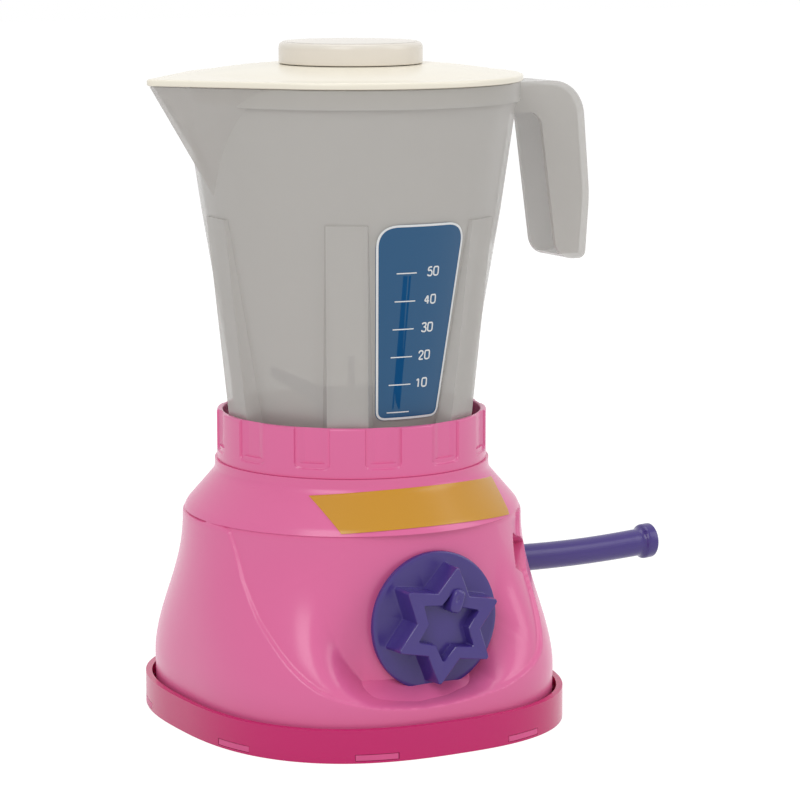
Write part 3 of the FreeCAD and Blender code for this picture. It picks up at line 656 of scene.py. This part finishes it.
def shell_outside(angles, heights):
    """The shell's outside: the flare stands a little proud below the ledge, and inside the ledge
    the panel sinks towards a wide cylinder behind the knob. Two slots at the sides are pressed
    in."""
    flare = flare_radius(angles, heights)
    inside = ledge_distance(angles, heights)
    flank = smooth_step(np.abs(np.degrees(angles) + 95), 14, 44)
    panel_step = 0.75 + 0.5 * (1 - smooth_step(heights, 20, 70))
    cylinder = panel_cylinder(angles)
    deep = np.clip(flare - panel_step - cylinder, 0, None)
    ramp = smooth_step(inside, 0.2, 2.4 + 27 * flank)
    facing = np.cos(angles + math.radians(95)) > 0.2
    behind = smooth_step(-np.abs(np.degrees(angles) + 90), -46, -24)
    panel = flare - panel_step - deep * ramp * facing * (0.25 + 0.75 * behind)
    edge = smooth_step(inside, -0.55, 0.55)
    below_top = 1 - smooth_step(heights, 76.6, 78.0)
    radius = flare + LEDGE_PROUD * below_top * smooth_step(heights, 14, 24)
    radius = radius + (panel - radius) * edge * np.where(heights > 77.6, 0, 1)
    for side in (-1, 1):
        radius = radius - SLOT_DEPTH * slot_mask(angles, heights, side)
    return radius


def slot_mask(angles, heights, side):
    """1 inside a slot: a slanting four-cornered shape bounded by four straight lines."""
    turn = np.mod(angles + math.pi, 2 * math.pi) - math.pi
    arc = -side * (turn - side * SLOT_TURN) * WAIST_RADIUS
    inside = np.full(arc.shape, FAR_AWAY)
    for first, second in zip(SLOT_CORNERS, SLOT_CORNERS[1:] + SLOT_CORNERS[:1]):
        run = np.array(second) - np.array(first)
        run = run / np.linalg.norm(run)
        away = (arc - first[0]) * -run[1] + (heights - first[1]) * run[0]
        inside = np.minimum(inside, away)
    return smooth_step(inside, -0.3, 0.3)


def shell_surface():
    """A closed ring of profiles: up the outside, over the deck, and down one wall further in."""
    front = np.radians(np.concatenate([np.linspace(-176, -20, 360), np.linspace(-19.5, 20, 44)]))
    rest = np.radians(np.concatenate([np.linspace(21, 72, 90), np.linspace(74, 182, 46)]))
    angles = np.concatenate([front, rest])
    heights = np.concatenate([[2.0, 6.0, 11.0], np.linspace(13, 16.5, 4),
                              np.linspace(FLARE_LOW, 78.5, 146), np.linspace(79.3, 96.0, 22)])
    grid_angles, grid_heights = np.meshgrid(angles, heights, indexing="ij")
    outside = shell_outside(grid_angles, grid_heights)
    deck = np.array([[47.0, 96.0], [6.0, 96.0], [6.0, 93.8], [44.0, 93.8]])
    inner_heights = np.array([90.0, 80.0, 76.0, 60.0, 45.0, 30.0, 16.0, 2.0])
    inner_angles, level = np.meshgrid(angles, inner_heights, indexing="ij")
    cylinder = panel_cylinder(inner_angles)
    inside = np.minimum(flare_radius(inner_angles, level), cylinder + 60 * (level < 20)) - 7.5
    inside = np.where(level < 20, flare_radius(inner_angles, level) - 2.2, inside)
    inside = np.where(level > 78, flare_radius(inner_angles, level) - 2.6, inside)
    across = (len(angles), len(deck))
    radius = np.hstack([outside, np.broadcast_to(deck[:, 0], across), inside])
    height = np.hstack([grid_heights, np.broadcast_to(deck[:, 1], across), level])
    return turned_surface(around_axis(angles, radius, height))


def tab_surfaces():
    """Eight snap tabs that fill the tray's slots: short arcs of the foot's outline."""
    steps = 15
    rings = np.array([(-3.2, 1.0), (0.0, 1.0), (0.0, 3.0), (-3.2, 3.0)])
    last = (steps - 1) * len(rings)
    parts = []
    for turn in [side * turn for side in (1, -1) for turn in TAB_TURNS]:
        middle = math.radians(turn - 90)
        half = TAB_HALF_WIDTH / foot_radius(np.array([middle]), 0)[0]
        angles = middle + np.linspace(-half, half, steps)
        radius = foot_radius(angles, 0)[:, None] + rings[:, 0]
        points = around_axis(angles, radius, rings[:, 1])
        faces = grid_faces(steps, len(rings), False, True).tolist()
        faces += [[3, 2, 1, 0], [last, last + 1, last + 2, last + 3]]
        parts.append((points.reshape(-1, 3), faces))
    return joined(parts)


NYLON_NODES = ("crank_bush", "gear_frame", "drive_foot_bush", "drive_top_bush", "knob_retainer",
               "crown_gear", "drive_pinion", "drive_coupling", "blade_coupling", "jar_bush")
STEEL_NODES = ("frame_screws", "crank_shaft", "crank_clip", "drive_shaft", "blade_shaft")


class TOYBLENDER_OT_foot(bpy.types.Operator):
    """Make the shell with its ledge and snap tabs, and finish the tray and the works inside"""
    bl_idname = "toy_blender.foot"
    bl_label = "Foot"

    def execute(self, context):
        make_piece("foot_shell", shell_surface(), pink_shell(), "base",
                   ("housing",), 40)
        tabs = plastic("tab_pink", shade(look().shell, 0.95), shade(look().shell, 0.85),
                       roughness=0.4, cloud=60.0, bump=0.03)
        make_piece("snap_tabs", tab_surfaces(), tabs, "base")
        dress("base_plate", magenta_tray())
        for node in NYLON_NODES:
            dress(node, nylon())
        for node in STEEL_NODES:
            dress(node, steel())
        return {"FINISHED"}


# The collar


WINDOWS = 12
WINDOW_HALF_WIDTH = 6.6
WINDOW_FOOT = 99.5
WINDOW_CORNER = 2.0


def collar_surface(low, high, depth):
    """A ring whose outside is sunk by depth inside each window. The sinking is a smooth step of
    the distance to a rectangle with rounded lower corners, so its edges are slightly soft."""
    outer, bottom, top = high[0], low[2], high[2]
    bore, seat, hole = outer - 2.4, bottom + 2.2, 36.0
    half_pitch = math.pi / WINDOWS
    half_window = WINDOW_HALF_WIDTH / outer
    cell = np.concatenate([np.linspace(-half_pitch, -half_window - 0.010, 5)[:-1],
                           np.linspace(-half_window - 0.010, -half_window + 0.012, 9)[:-1],
                           np.linspace(-half_window + 0.012, 0, 6)[:-1]])
    cell = np.concatenate([cell, -cell[::-1]])
    cell = cell[:-1]
    angles = (np.arange(WINDOWS)[:, None] * 2 * half_pitch + half_pitch + cell).ravel()
    profile = rounded(((hole, bottom), (outer, bottom), (outer, top), (bore, top), (bore, seat),
                       (hole, seat), (hole, bottom)), (0, 0.3, 1.0, 0.9, 0, 0.3, 0), 7)
    rise = np.concatenate([np.linspace(bottom + 0.5, 98.8, 3), np.linspace(99.0, 102.0, 14),
                           np.linspace(103.0, top - 1.05, 6)])
    side = np.stack([np.full_like(rise, outer), rise], -1)
    start = int(np.argmax(profile[:, 0] >= outer - 1e-6)) + 1
    profile = np.vstack([profile[:start], side, profile[start:]])[:-1]
    plain, height = profile.T
    arc = (np.mod(angles, 2 * half_pitch) - half_pitch) * outer
    across = np.abs(arc)[:, None] - WINDOW_HALF_WIDTH
    under = WINDOW_FOOT - height[None]
    corner = WINDOW_CORNER
    reach = np.hypot(np.maximum(across + corner, 0), np.maximum(under + corner, 0)) - corner
    distance = np.maximum(reach, np.maximum(across, under) * (reach <= -corner))
    sunk = 1 - smooth_step(distance, -0.25, 0.25)
    radius = np.where(plain > bore + 0.4, np.minimum(plain, outer - depth * sunk), plain)
    return turned_surface(around_axis(angles, radius, height))


class TOYBLENDER_OT_collar(bpy.types.Operator):
    """Make the ring with twelve sunk windows that holds the jar"""
    bl_idname = "toy_blender.collar"
    bl_label = "Collar"

    def execute(self, context):
        sizes = context.scene.toy_blender_sizes
        low, high = box_mm("jar_collar")
        make_piece("collar_ring", collar_surface(low, high, sizes.window_depth / MM), pink_shell(),
                   "base", ("jar_collar",), 50)
        return {"FINISHED"}


# The knob


KNOB_HEIGHT = 45.4
DISC_FACE = -63.1            # the disc's front, from which the star rises
STAR_POINTS = 6
STAR_FIRST_TIP = math.radians(80)
STAR_TIP, STAR_VALLEY = 22.3, 13.5
POCKET_TIP, POCKET_VALLEY = 13.0, 8.1
POCKET_DEPTH = 4.0
POINTER_TURN = math.radians(72)
POINTER_REACH = 9.5


def star_radius(angles, tip, valley, blunt):
    """Distance to a star's straight edges, as the line between a tip and a valley in polar form,
    with the tips cut a little short."""
    half = math.pi / STAR_POINTS
    turn = np.mod(angles - STAR_FIRST_TIP, 2 * half)
    turn = np.minimum(turn, 2 * half - turn)
    edge = tip * valley * math.sin(half) / (tip * np.sin(turn) + valley * np.sin(half - turn))
    return np.minimum(edge, tip * blunt)


def knob_surface(low, high, star_height):
    """Rings round the knob's axis, from the spindle's end over the disc, up the star's wall, over
    its face and down into the star-shaped pocket. Each ring is a circle or a star."""
    centre = np.array([0.0, KNOB_HEIGHT])
    angles = full_turn(288, STAR_FIRST_TIP)
    circle = np.ones_like(angles)
    star = star_radius(angles, STAR_TIP, STAR_VALLEY, 0.96)
    pocket = star_radius(angles, POCKET_TIP, POCKET_VALLEY, 0.97)
    rim = DISC_FACE
    face = rim - star_height
    floor = face + POCKET_DEPTH
    spindle = high[1]
    rings = [(circle * 3.6, spindle), (circle * 4.0, spindle - 0.4), (circle * 4.0, -60.8),
             (circle * 24.9, -60.8), (circle * 25.3, -61.1), (circle * 25.4, -62.2),
             (circle * 25.2, -62.8), (circle * 24.7, -63.08), (circle * 23.6, rim)]
    rings += [(star + 0.7, rim), (star + 0.25, rim - 0.15), (star, rim - 0.6),
              (star - 0.15, (rim + face) / 2), (star - 0.3, face + 0.6), (star - 0.42, face + 0.22),
              (star - 0.75, face), (star - 1.2, face)]
    rings += [(pocket + 0.8, face), (pocket + 0.45, face + 0.05), (pocket + 0.15, face + 0.35),
              (pocket, floor - 0.5), (pocket - 0.3, floor), (pocket * 0.6, floor),
              (pocket * 0.25, floor)]
    radius = np.stack([ring for ring, _ in rings], 1)
    depth = np.array([place for _, place in rings])
    points = np.stack([np.cos(angles)[:, None] * radius + centre[0],
                       np.broadcast_to(depth, radius.shape),
                       np.sin(angles)[:, None] * radius + centre[1]], -1)
    body = turned_surface(points, np.array([centre[0], spindle, centre[1]]),
                          np.array([centre[0], floor, centre[1]]))
    return joined([body, pointer_surface(centre, low[1], floor)])


def pointer_surface(centre, top, floor):
    """A rounded bar on the star: rings of a long oval that shrink as they rise into a dome, with
    a shallow dimple pressed into the dome."""
    along = np.array([math.cos(POINTER_TURN), math.sin(POINTER_TURN)])
    across = np.array([-along[1], along[0]])
    middle = centre + along * POINTER_REACH
    angles = full_turn(64)
    power = 2 / 3.2
    u = squarish(np.cos(angles), power) * 4.5
    v = squarish(np.sin(angles), power) * 2.6
    share = np.array([1.0, 1.0, 1.0, 0.97, 0.9, 0.78, 0.62, 0.45, 0.28, 0.12])
    height = np.array([0.0, 0.3, 0.6, 0.78, 0.89, 0.95, 0.98, 0.99, 1.0, 1.0])
    u = u[:, None] * share
    v = v[:, None] * share
    dip = 0.7 * np.exp(-((u - 0.6) ** 2 + (v - 0.3) ** 2) / 1.1)
    rise = floor + (top - floor) * height + dip * (height > 0.7)
    plan = middle + u[..., None] * along + v[..., None] * across
    points = np.stack([plan[..., 0], rise, plan[..., 1]], -1)
    return turned_surface(points, np.array([middle[0], floor, middle[1]]),
                          np.array([middle[0], top + 0.3, middle[1]]))


class TOYBLENDER_OT_knob(bpy.types.Operator):
    """Make the round knob with its star, star-shaped pocket and pointer"""
    bl_idname = "toy_blender.knob"
    bl_label = "Star knob"

    def execute(self, context):
        low, high = box_mm("star_knob")
        height = context.scene.toy_blender_sizes.star_height / MM
        make_piece("star_knob_body", knob_surface(low, high, height), purple_plastic(),
                   "knob", ("star_knob",), 32)
        return {"FINISHED"}


# The crank


CRANK_HEIGHT = 62.5
CRANK_THROW = 25.2
CRANK_TURN = math.radians(-45)


def rod_surface(profile, centres, angles):
    """Circles of changing radius along X, each round its own centre in Y and Z. One centre
    serves for a straight rod."""
    stations, radii = profile.T
    centres = np.broadcast_to(centres, (len(profile), 2))
    y = centres[:, 0] - np.outer(np.sin(angles), radii)
    z = centres[:, 1] + np.outer(np.cos(angles), radii)
    points = np.stack([np.broadcast_to(stations, y.shape), y, z], -1)
    ends = [np.array([stations[end], *centres[end]]) for end in (0, -1)]
    return turned_surface(points, ends[0], ends[1])


def arm_surface(start, end, half_width, half_thick):
    """A flat bar between two points: rings of a squarish oval along the straight line."""
    share = np.linspace(0, 1, 13)
    line = start + (end - start) * share[:, None]
    flat = (end - start) * np.array([0, 1, 1])
    flat = flat / np.linalg.norm(flat)
    side = np.cross(flat, (1, 0, 0))
    angles = full_turn(48)
    power = 2 / 5
    u = squarish(np.cos(angles), power) * half_width
    v = squarish(np.sin(angles), power) * half_thick
    points = (line[None] + u[:, None, None] * side + v[:, None, None] * np.array([1.0, 0, 0]))
    return turned_surface(points, line[0], line[-1])


def crank_surface(low, high, bow):
    """Hub, flat arm, round arm end, and a grip whose centre line sags by bow and whose end opens
    into a flange with a shallow dish."""
    hub = np.array([0.0, CRANK_HEIGHT])
    grip = hub + CRANK_THROW * np.array([math.cos(CRANK_TURN), math.sin(CRANK_TURN)])
    angles = full_turn(72)
    inner = low[0]
    profile = rounded(((inner, 4.05), (inner, 8.5), (69.0, 8.5), (69.0, 4.05)), (0, 0.5, 0.7, 0))
    hub_rod = rod_surface(profile, hub, angles)
    profile = rounded(((70.5, 3.0), (70.5, 8.0), (75.5, 8.0), (75.5, 3.0)), (0, 0.9, 1.1, 0))
    end_rod = rod_surface(profile, grip, angles)
    arm = arm_surface(np.array([67.5, *hub]), np.array([73.0, *grip]), 6.5, 1.5)
    far = high[0]
    profile = rounded(((74.0, 5.4), (140.2, 5.35), (141.6, 6.9), (far, 6.9), (far, 4.4),
                       (far - 0.8, 3.6), (far - 0.8, 1.0)), (0, 1.2, 0.8, 0.9, 0.4, 0.4, 0), 6)
    run = np.linspace(76.0, 138.0, 24)
    long_side = np.stack([run, 5.4 - 0.12 * np.sin((run - 76) / 62 * math.pi)], -1)
    profile = np.vstack([profile[:1], long_side, profile[1:]])
    share = (profile[:, 0] - 74.0) / (far - 74.0)
    sag = 0.3 - bow * np.sin(share * math.pi) + bow * 0.9 * share ** 3
    centres = np.stack([np.full_like(share, grip[0]), grip[1] + sag], -1)
    return joined([hub_rod, end_rod, arm, rod_surface(profile, centres, angles)])


class TOYBLENDER_OT_crank(bpy.types.Operator):
    """Make the hand crank with hub, arm and slightly bowed grip"""
    bl_idname = "toy_blender.crank"
    bl_label = "Crank"

    def execute(self, context):
        low, high = box_mm("crank")
        bow = context.scene.toy_blender_sizes.grip_bow / MM
        make_piece("crank_and_grip", crank_surface(low, high, bow), purple_plastic(), "crank",
                   ("crank",))
        dress("blade_rotor", purple_plastic())
        return {"FINISHED"}


# Jar, label and band


JAR_HEIGHTS = (98.5, 188.0, 235.3)
JAR_RADII = (40.0, 55.0, 61.8)
LABEL_TOP, LABEL_BOTTOM = 187.6, 116.0
LABEL_TOP_HALF, LABEL_BOTTOM_HALF = 18.2, 12.6
LABEL_ROUNDS = (3.0, 3.0, 8.0, 8.0)
INK_LIFT = 0.44              # from the jar's wall to the back of the print
TICK_TOP = 170.0
TICK_PITCH = 10.24
TICKS = 6


def on_jar(x, z, lift):
    """A point of a flat drawing laid on the front of the jar, lifted off its wall, which is two
    cones that meet below the rim."""
    return front_point(x, z, np.interp(z, JAR_HEIGHTS, JAR_RADII) + lift)


def stroke(path, half_width, closed=False, lift=INK_LIFT, thick=0.04):
    """A flat stroke: the path moved sideways both ways, with a thin wall all round."""
    path = np.asarray(path, float)
    if closed:
        along = np.roll(path, -1, 0) - np.roll(path, 1, 0)
    else:
        along = np.gradient(path, axis=0)
    along /= np.linalg.norm(along, axis=1)[:, None]
    side = np.stack([-along[:, 1], along[:, 0]], -1) * half_width
    corners = ((side, lift), (-side, lift), (-side, lift + thick), (side, lift + thick))
    points = np.stack([on_jar(*(path + offset).T, up) for offset, up in corners], 1)
    count = len(path)
    faces = grid_faces(count, 4, closed, True).tolist()
    if not closed:
        last = (count - 1) * 4
        faces += [[0, 1, 2, 3], [last + 3, last + 2, last + 1, last]]
    return points.reshape(-1, 3), [face[::-1] for face in faces]


def softened(corners, rounds=2):
    """Cuts a path's corners by quarters, which leaves a smooth line."""
    path = np.asarray(corners, float)
    for _ in range(rounds):
        first, second = path[:-1], path[1:]
        inner = np.stack([first * 0.75 + second * 0.25, first * 0.25 + second * 0.75], 1)
        path = np.vstack([path[:1], inner.reshape(-1, 2), path[-1:]])
    return path


# Corners of each number's single stroke, as shares of its height
DIGITS = {
    "1": ((0.12, 0.78), (0.38, 1.0), (0.38, 0.5), (0.38, 0.0)),
    "2": ((0.05, 0.72), (0.1, 1.0), (0.55, 1.0), (0.6, 0.66), (0.3, 0.34), (0.02, 0.0),
          (0.62, 0.0)),
    "3": ((0.05, 0.88), (0.2, 1.02), (0.6, 1.0), (0.55, 0.6), (0.25, 0.54), (0.62, 0.5),
          (0.62, 0.0), (0.2, -0.02), (0.02, 0.14)),
    "4": ((0.45, 0.0), (0.45, 0.5), (0.45, 1.0), (0.2, 0.62), (0.0, 0.3), (0.62, 0.3)),
    "5": ((0.58, 1.0), (0.15, 1.0), (0.08, 0.56), (0.4, 0.66), (0.64, 0.45), (0.6, 0.0),
          (0.2, -0.02), (0.02, 0.12)),
    "0": ((0.32, 1.0), (0.02, 1.0), (0.0, 0.5), (0.02, 0.0), (0.62, 0.0), (0.64, 0.5), (0.62, 1.0),
          (0.32, 1.0)),
}


def label_outline(inset):
    """The label's outline: a tapered shape with quarter-round corners, moved in by an inset."""
    foot, head = LABEL_BOTTOM_HALF - inset, LABEL_TOP_HALF - inset
    low, high = LABEL_BOTTOM + inset, LABEL_TOP - inset
    corners = np.array([(-foot, low), (foot, low), (head, high), (-head, high)])
    runs = []
    for index, corner in enumerate(corners):
        following = (index + 1) % len(corners)
        ahead = corners[following] - corner
        curve = corner_curve(corners[index - 1], corner, corners[following], LABEL_ROUNDS[index],
                             14)
        until = corners[following] - ahead / np.linalg.norm(ahead) * LABEL_ROUNDS[following]
        runs += [curve, curve[-1] + (until - curve[-1]) * np.linspace(0, 1, 26)[1:-1, None]]
    return np.vstack(runs)


def label_print(sizes):
    """The white edge, the marks and the numbers of the measuring label as one surface, and the
    pale column behind the marks as another."""
    border = sizes.label_border / MM
    tick = sizes.tick_width / MM / 2
    height = sizes.digit_height / MM
    parts = [stroke(label_outline(border / 2 + 0.05), border / 2, closed=True)]
    for index in range(TICKS):
        level = TICK_TOP - TICK_PITCH * index
        left = -9.5 + 0.14 * index
        right = -1.8 + 0.32 * index
        run = np.stack([np.linspace(left, right, 8), np.full(8, level)], -1)
        parts.append(stroke(run, tick))
        if index < TICKS - 1:
            start = 2.6 - 0.25 * index
            for place, digit in enumerate(str(50 - 10 * index)):
                shape = softened(DIGITS[digit]) * height
                shape = shape + (start + place * height * 0.86, level - height * 0.42)
                parts.append(stroke(shape, 0.27))
    column = np.stack([np.full(40, -5.4), np.linspace(120.0, 169.0, 40)], -1)
    return joined(parts), stroke(column, 1.5, lift=0.425, thick=0.01)


class TOYBLENDER_OT_jar(bpy.types.Operator):
    """Finish the milky jar and print its measuring label"""
    bl_idname = "toy_blender.jar"
    bl_label = "Jar and label"

    def execute(self, context):
        dress("jar", milky_plastic())
        dress("jar_scale_label",
              sticker("label_blue", look().label, shade(look().label, 0.85), 0.42))
        ink = sticker("label_white", screen(236, 238, 238), screen(225, 229, 231), 0.35)
        marks, column = label_print(context.scene.toy_blender_sizes)
        make_piece("label_print", marks, ink, "jar")
        pale = sticker("label_pale_blue", screen(22, 82, 132), screen(12, 74, 124), 0.42)
        make_piece("label_column", column, pale, "jar")
        return {"FINISHED"}


def band_surface():
    """A film on the shoulder: columns run across between two slanting ends, rows rise between two
    arched edges, and each point lies on the shoulder's own curve, lifted by the film."""
    share, rise = np.meshgrid(np.linspace(0, 1, 130), np.linspace(0, 1, 26), indexing="ij")
    left = -32.8 - 4.6 * rise
    right = 39.4 + 0.6 * rise
    x = left + (right - left) * share
    bottom = 79.9 - 1.7 * (x / 38) ** 2
    top = 92.4 - 2.2 * (x / 38) ** 2
    z = bottom + (top - bottom) * rise
    films = []
    for lift in (0.04, 0.28):
        films.append(front_point(x, z, shoulder_radius(z) + lift))
    loop = np.concatenate([films[0], films[1][:, ::-1]], 1)
    columns, around = loop.shape[:2]
    faces = grid_faces(columns, around, False, True).tolist()
    faces += [list(range(around))[::-1], list(range((columns - 1) * around, columns * around))]
    return loop.reshape(-1, 3), faces


class TOYBLENDER_OT_band(bpy.types.Operator):
    """Make the mustard band on the shoulder"""
    bl_idname = "toy_blender.band"
    bl_label = "Shoulder band"

    def execute(self, context):
        film = sticker("band_mustard", look().band, shade(look().band, 0.86), 0.3,
                       screen(240, 214, 128), gloss=0.3)
        make_piece("shoulder_band", band_surface(), film, "base",
                   ("shoulder_band_label",), 60)
        return {"FINISHED"}


# Lid and cap


def spout_plan(angles, radius, tip, tip_radius):
    """A circle with two tangents that meet in a small round nose towards -X, in polar form."""
    nose = tip - tip_radius
    touch = math.acos((radius - tip_radius) / nose)
    nose_end = math.atan2(tip_radius * math.sin(touch), nose + tip_radius * math.cos(touch))
    away = np.abs(np.mod(angles, 2 * math.pi) - math.pi)
    inside = np.clip(tip_radius ** 2 - (nose * np.sin(away)) ** 2, 0, None)
    round_nose = nose * np.cos(away) + np.sqrt(inside)
    straight = radius / np.cos(np.minimum(np.abs(away - touch), 1.2))
    return np.where(away < nose_end, round_nose, np.where(away < touch, straight, radius))


NOSE_RADIUS = 3.9
LID_BORE = 22.3
DOME_FOOT_RADIUS, DOME_FOOT = 57.0, 238.4


def lid_surface(low, high):
    """Rings round the jar's axis: the skirt's inside and outside, the rim that reaches over the
    spout, and a dome that rises in a soft curve to the filler hole. Each ring has a radius, its
    share of the spout's extra reach, and a height."""
    radius, tip = high[0], -low[0]
    bottom, top = low[2], high[2]
    angles = np.concatenate([np.linspace(0, math.pi - 0.16, 150),
                             np.linspace(math.pi - 0.15, math.pi + 0.15, 61),
                             np.linspace(math.pi + 0.16, 2 * math.pi, 150)[:-1]])
    extra = spout_plan(angles, radius, tip, NOSE_RADIUS) - radius
    rings = [(LID_BORE, 0, 239.9), (26.4, 0, 239.9), (57.2, 0, 236.3), (57.2, 0, bottom + 0.3),
             (57.5, 0, bottom), (58.5, 0, bottom), (58.8, 0, bottom + 0.3), (58.8, 0, 235.3),
             (59.2, 0, 235.6), (62.6, 1, 235.6), (62.95, 1, 235.68), (63.15, 1, 235.9),
             (63.2, 1, 236.3), (63.2, 1, 237.1), (63.1, 1, 237.5), (62.8, 1, 237.8),
             (62.3, 1, 237.95), (61.5, 0.96, 238.02), (60.5, 0.85, 238.08), (59.5, 0.6, 238.15),
             (58.5, 0.3, 238.25), (DOME_FOOT_RADIUS, 0.0, DOME_FOOT)]
    rings += [(DOME_FOOT_RADIUS - 30.6 * share, 0,
               DOME_FOOT + (top - DOME_FOOT) * (1 - (1 - share) ** 1.8))
              for share in np.linspace(0.06, 1, 14)]
    rings += [(22.9, 0, top), (22.4, 0, top - 0.2), (LID_BORE, 0, top - 0.5)]
    plain, spread, height = np.array(rings).T
    return turned_surface(around_axis(angles, plain + extra[:, None] * spread, height))


def cap_surface(low, high):
    """A turned cap: hollow plug, groove, outer wall with a soft edge and a faintly crowned top."""
    radius, bottom, top = high[0], low[2], high[2]
    profile = rounded(((6.0, top - 1.8), (20.2, top - 1.8), (20.2, bottom), (22.0, bottom),
                       (22.0, top - 1.8), (24.6, top - 1.8), (24.6, 241.8), (radius, 241.8),
                       (radius, top - 0.35), (radius - 3.2, top - 0.25), (12.0, top), (3.0, top)),
                      (0, 0.4, 0.4, 0.4, 0.4, 0.4, 0.3, 0.5, 2.4, 1.4, 4.0, 0), 7)
    points = around_axis(full_turn(144), *profile.T)
    return turned_surface(points, np.array([0, 0, top - 1.8]), np.array([0, 0, top]))


class TOYBLENDER_OT_lid(bpy.types.Operator):
    """Make the cream lid and its filler cap"""
    bl_idname = "toy_blender.lid"
    bl_label = "Lid and cap"

    def execute(self, context):
        make_piece("lid_top", lid_surface(*box_mm("lid")), cream_plastic(), "lid",
                   ("lid",))
        make_piece("filler_cap_top", cap_surface(*box_mm("filler_cap")), cap_plastic(), "cap",
                   ("filler_cap",))
        return {"FINISHED"}


# Panel and registration


operators = (TOYBLENDER_OT_stage, TOYBLENDER_OT_foot, TOYBLENDER_OT_collar, TOYBLENDER_OT_knob,
             TOYBLENDER_OT_crank, TOYBLENDER_OT_jar, TOYBLENDER_OT_band, TOYBLENDER_OT_lid)


class TOYBLENDER_PT_panel(bpy.types.Panel):
    """Lists the pieces, sizes and colours of the toy blender"""
    bl_idname = "TOYBLENDER_PT_panel"
    bl_label = "Toy Blender"
    bl_space_type = "VIEW_3D"
    bl_region_type = "UI"
    bl_category = "Toy Blender"

    def draw(self, context):
        layout = self.layout
        for settings in (context.scene.toy_blender_sizes, context.scene.toy_blender_colours):
            for label in settings.__annotations__:
                layout.prop(settings, label)
        for operator in operators:
            layout.operator(operator.bl_idname)


classes = (ToyBlenderSizes, ToyBlenderColours, *operators, TOYBLENDER_PT_panel)


def register():
    for item in classes:
        bpy.utils.register_class(item)
    bpy.types.Scene.toy_blender_sizes = bpy.props.PointerProperty(type=ToyBlenderSizes)
    bpy.types.Scene.toy_blender_colours = bpy.props.PointerProperty(type=ToyBlenderColours)


def unregister():
    del bpy.types.Scene.toy_blender_colours
    del bpy.types.Scene.toy_blender_sizes
    for item in reversed(classes):
        bpy.utils.unregister_class(item)


def main():
    register()
    bpy.ops.toy_blender.stage()
    bpy.ops.toy_blender.foot()
    bpy.ops.toy_blender.collar()
    bpy.ops.toy_blender.knob()
    bpy.ops.toy_blender.crank()
    bpy.ops.toy_blender.jar()
    bpy.ops.toy_blender.band()
    bpy.ops.toy_blender.lid()


if __name__ == "__main__":
    main()
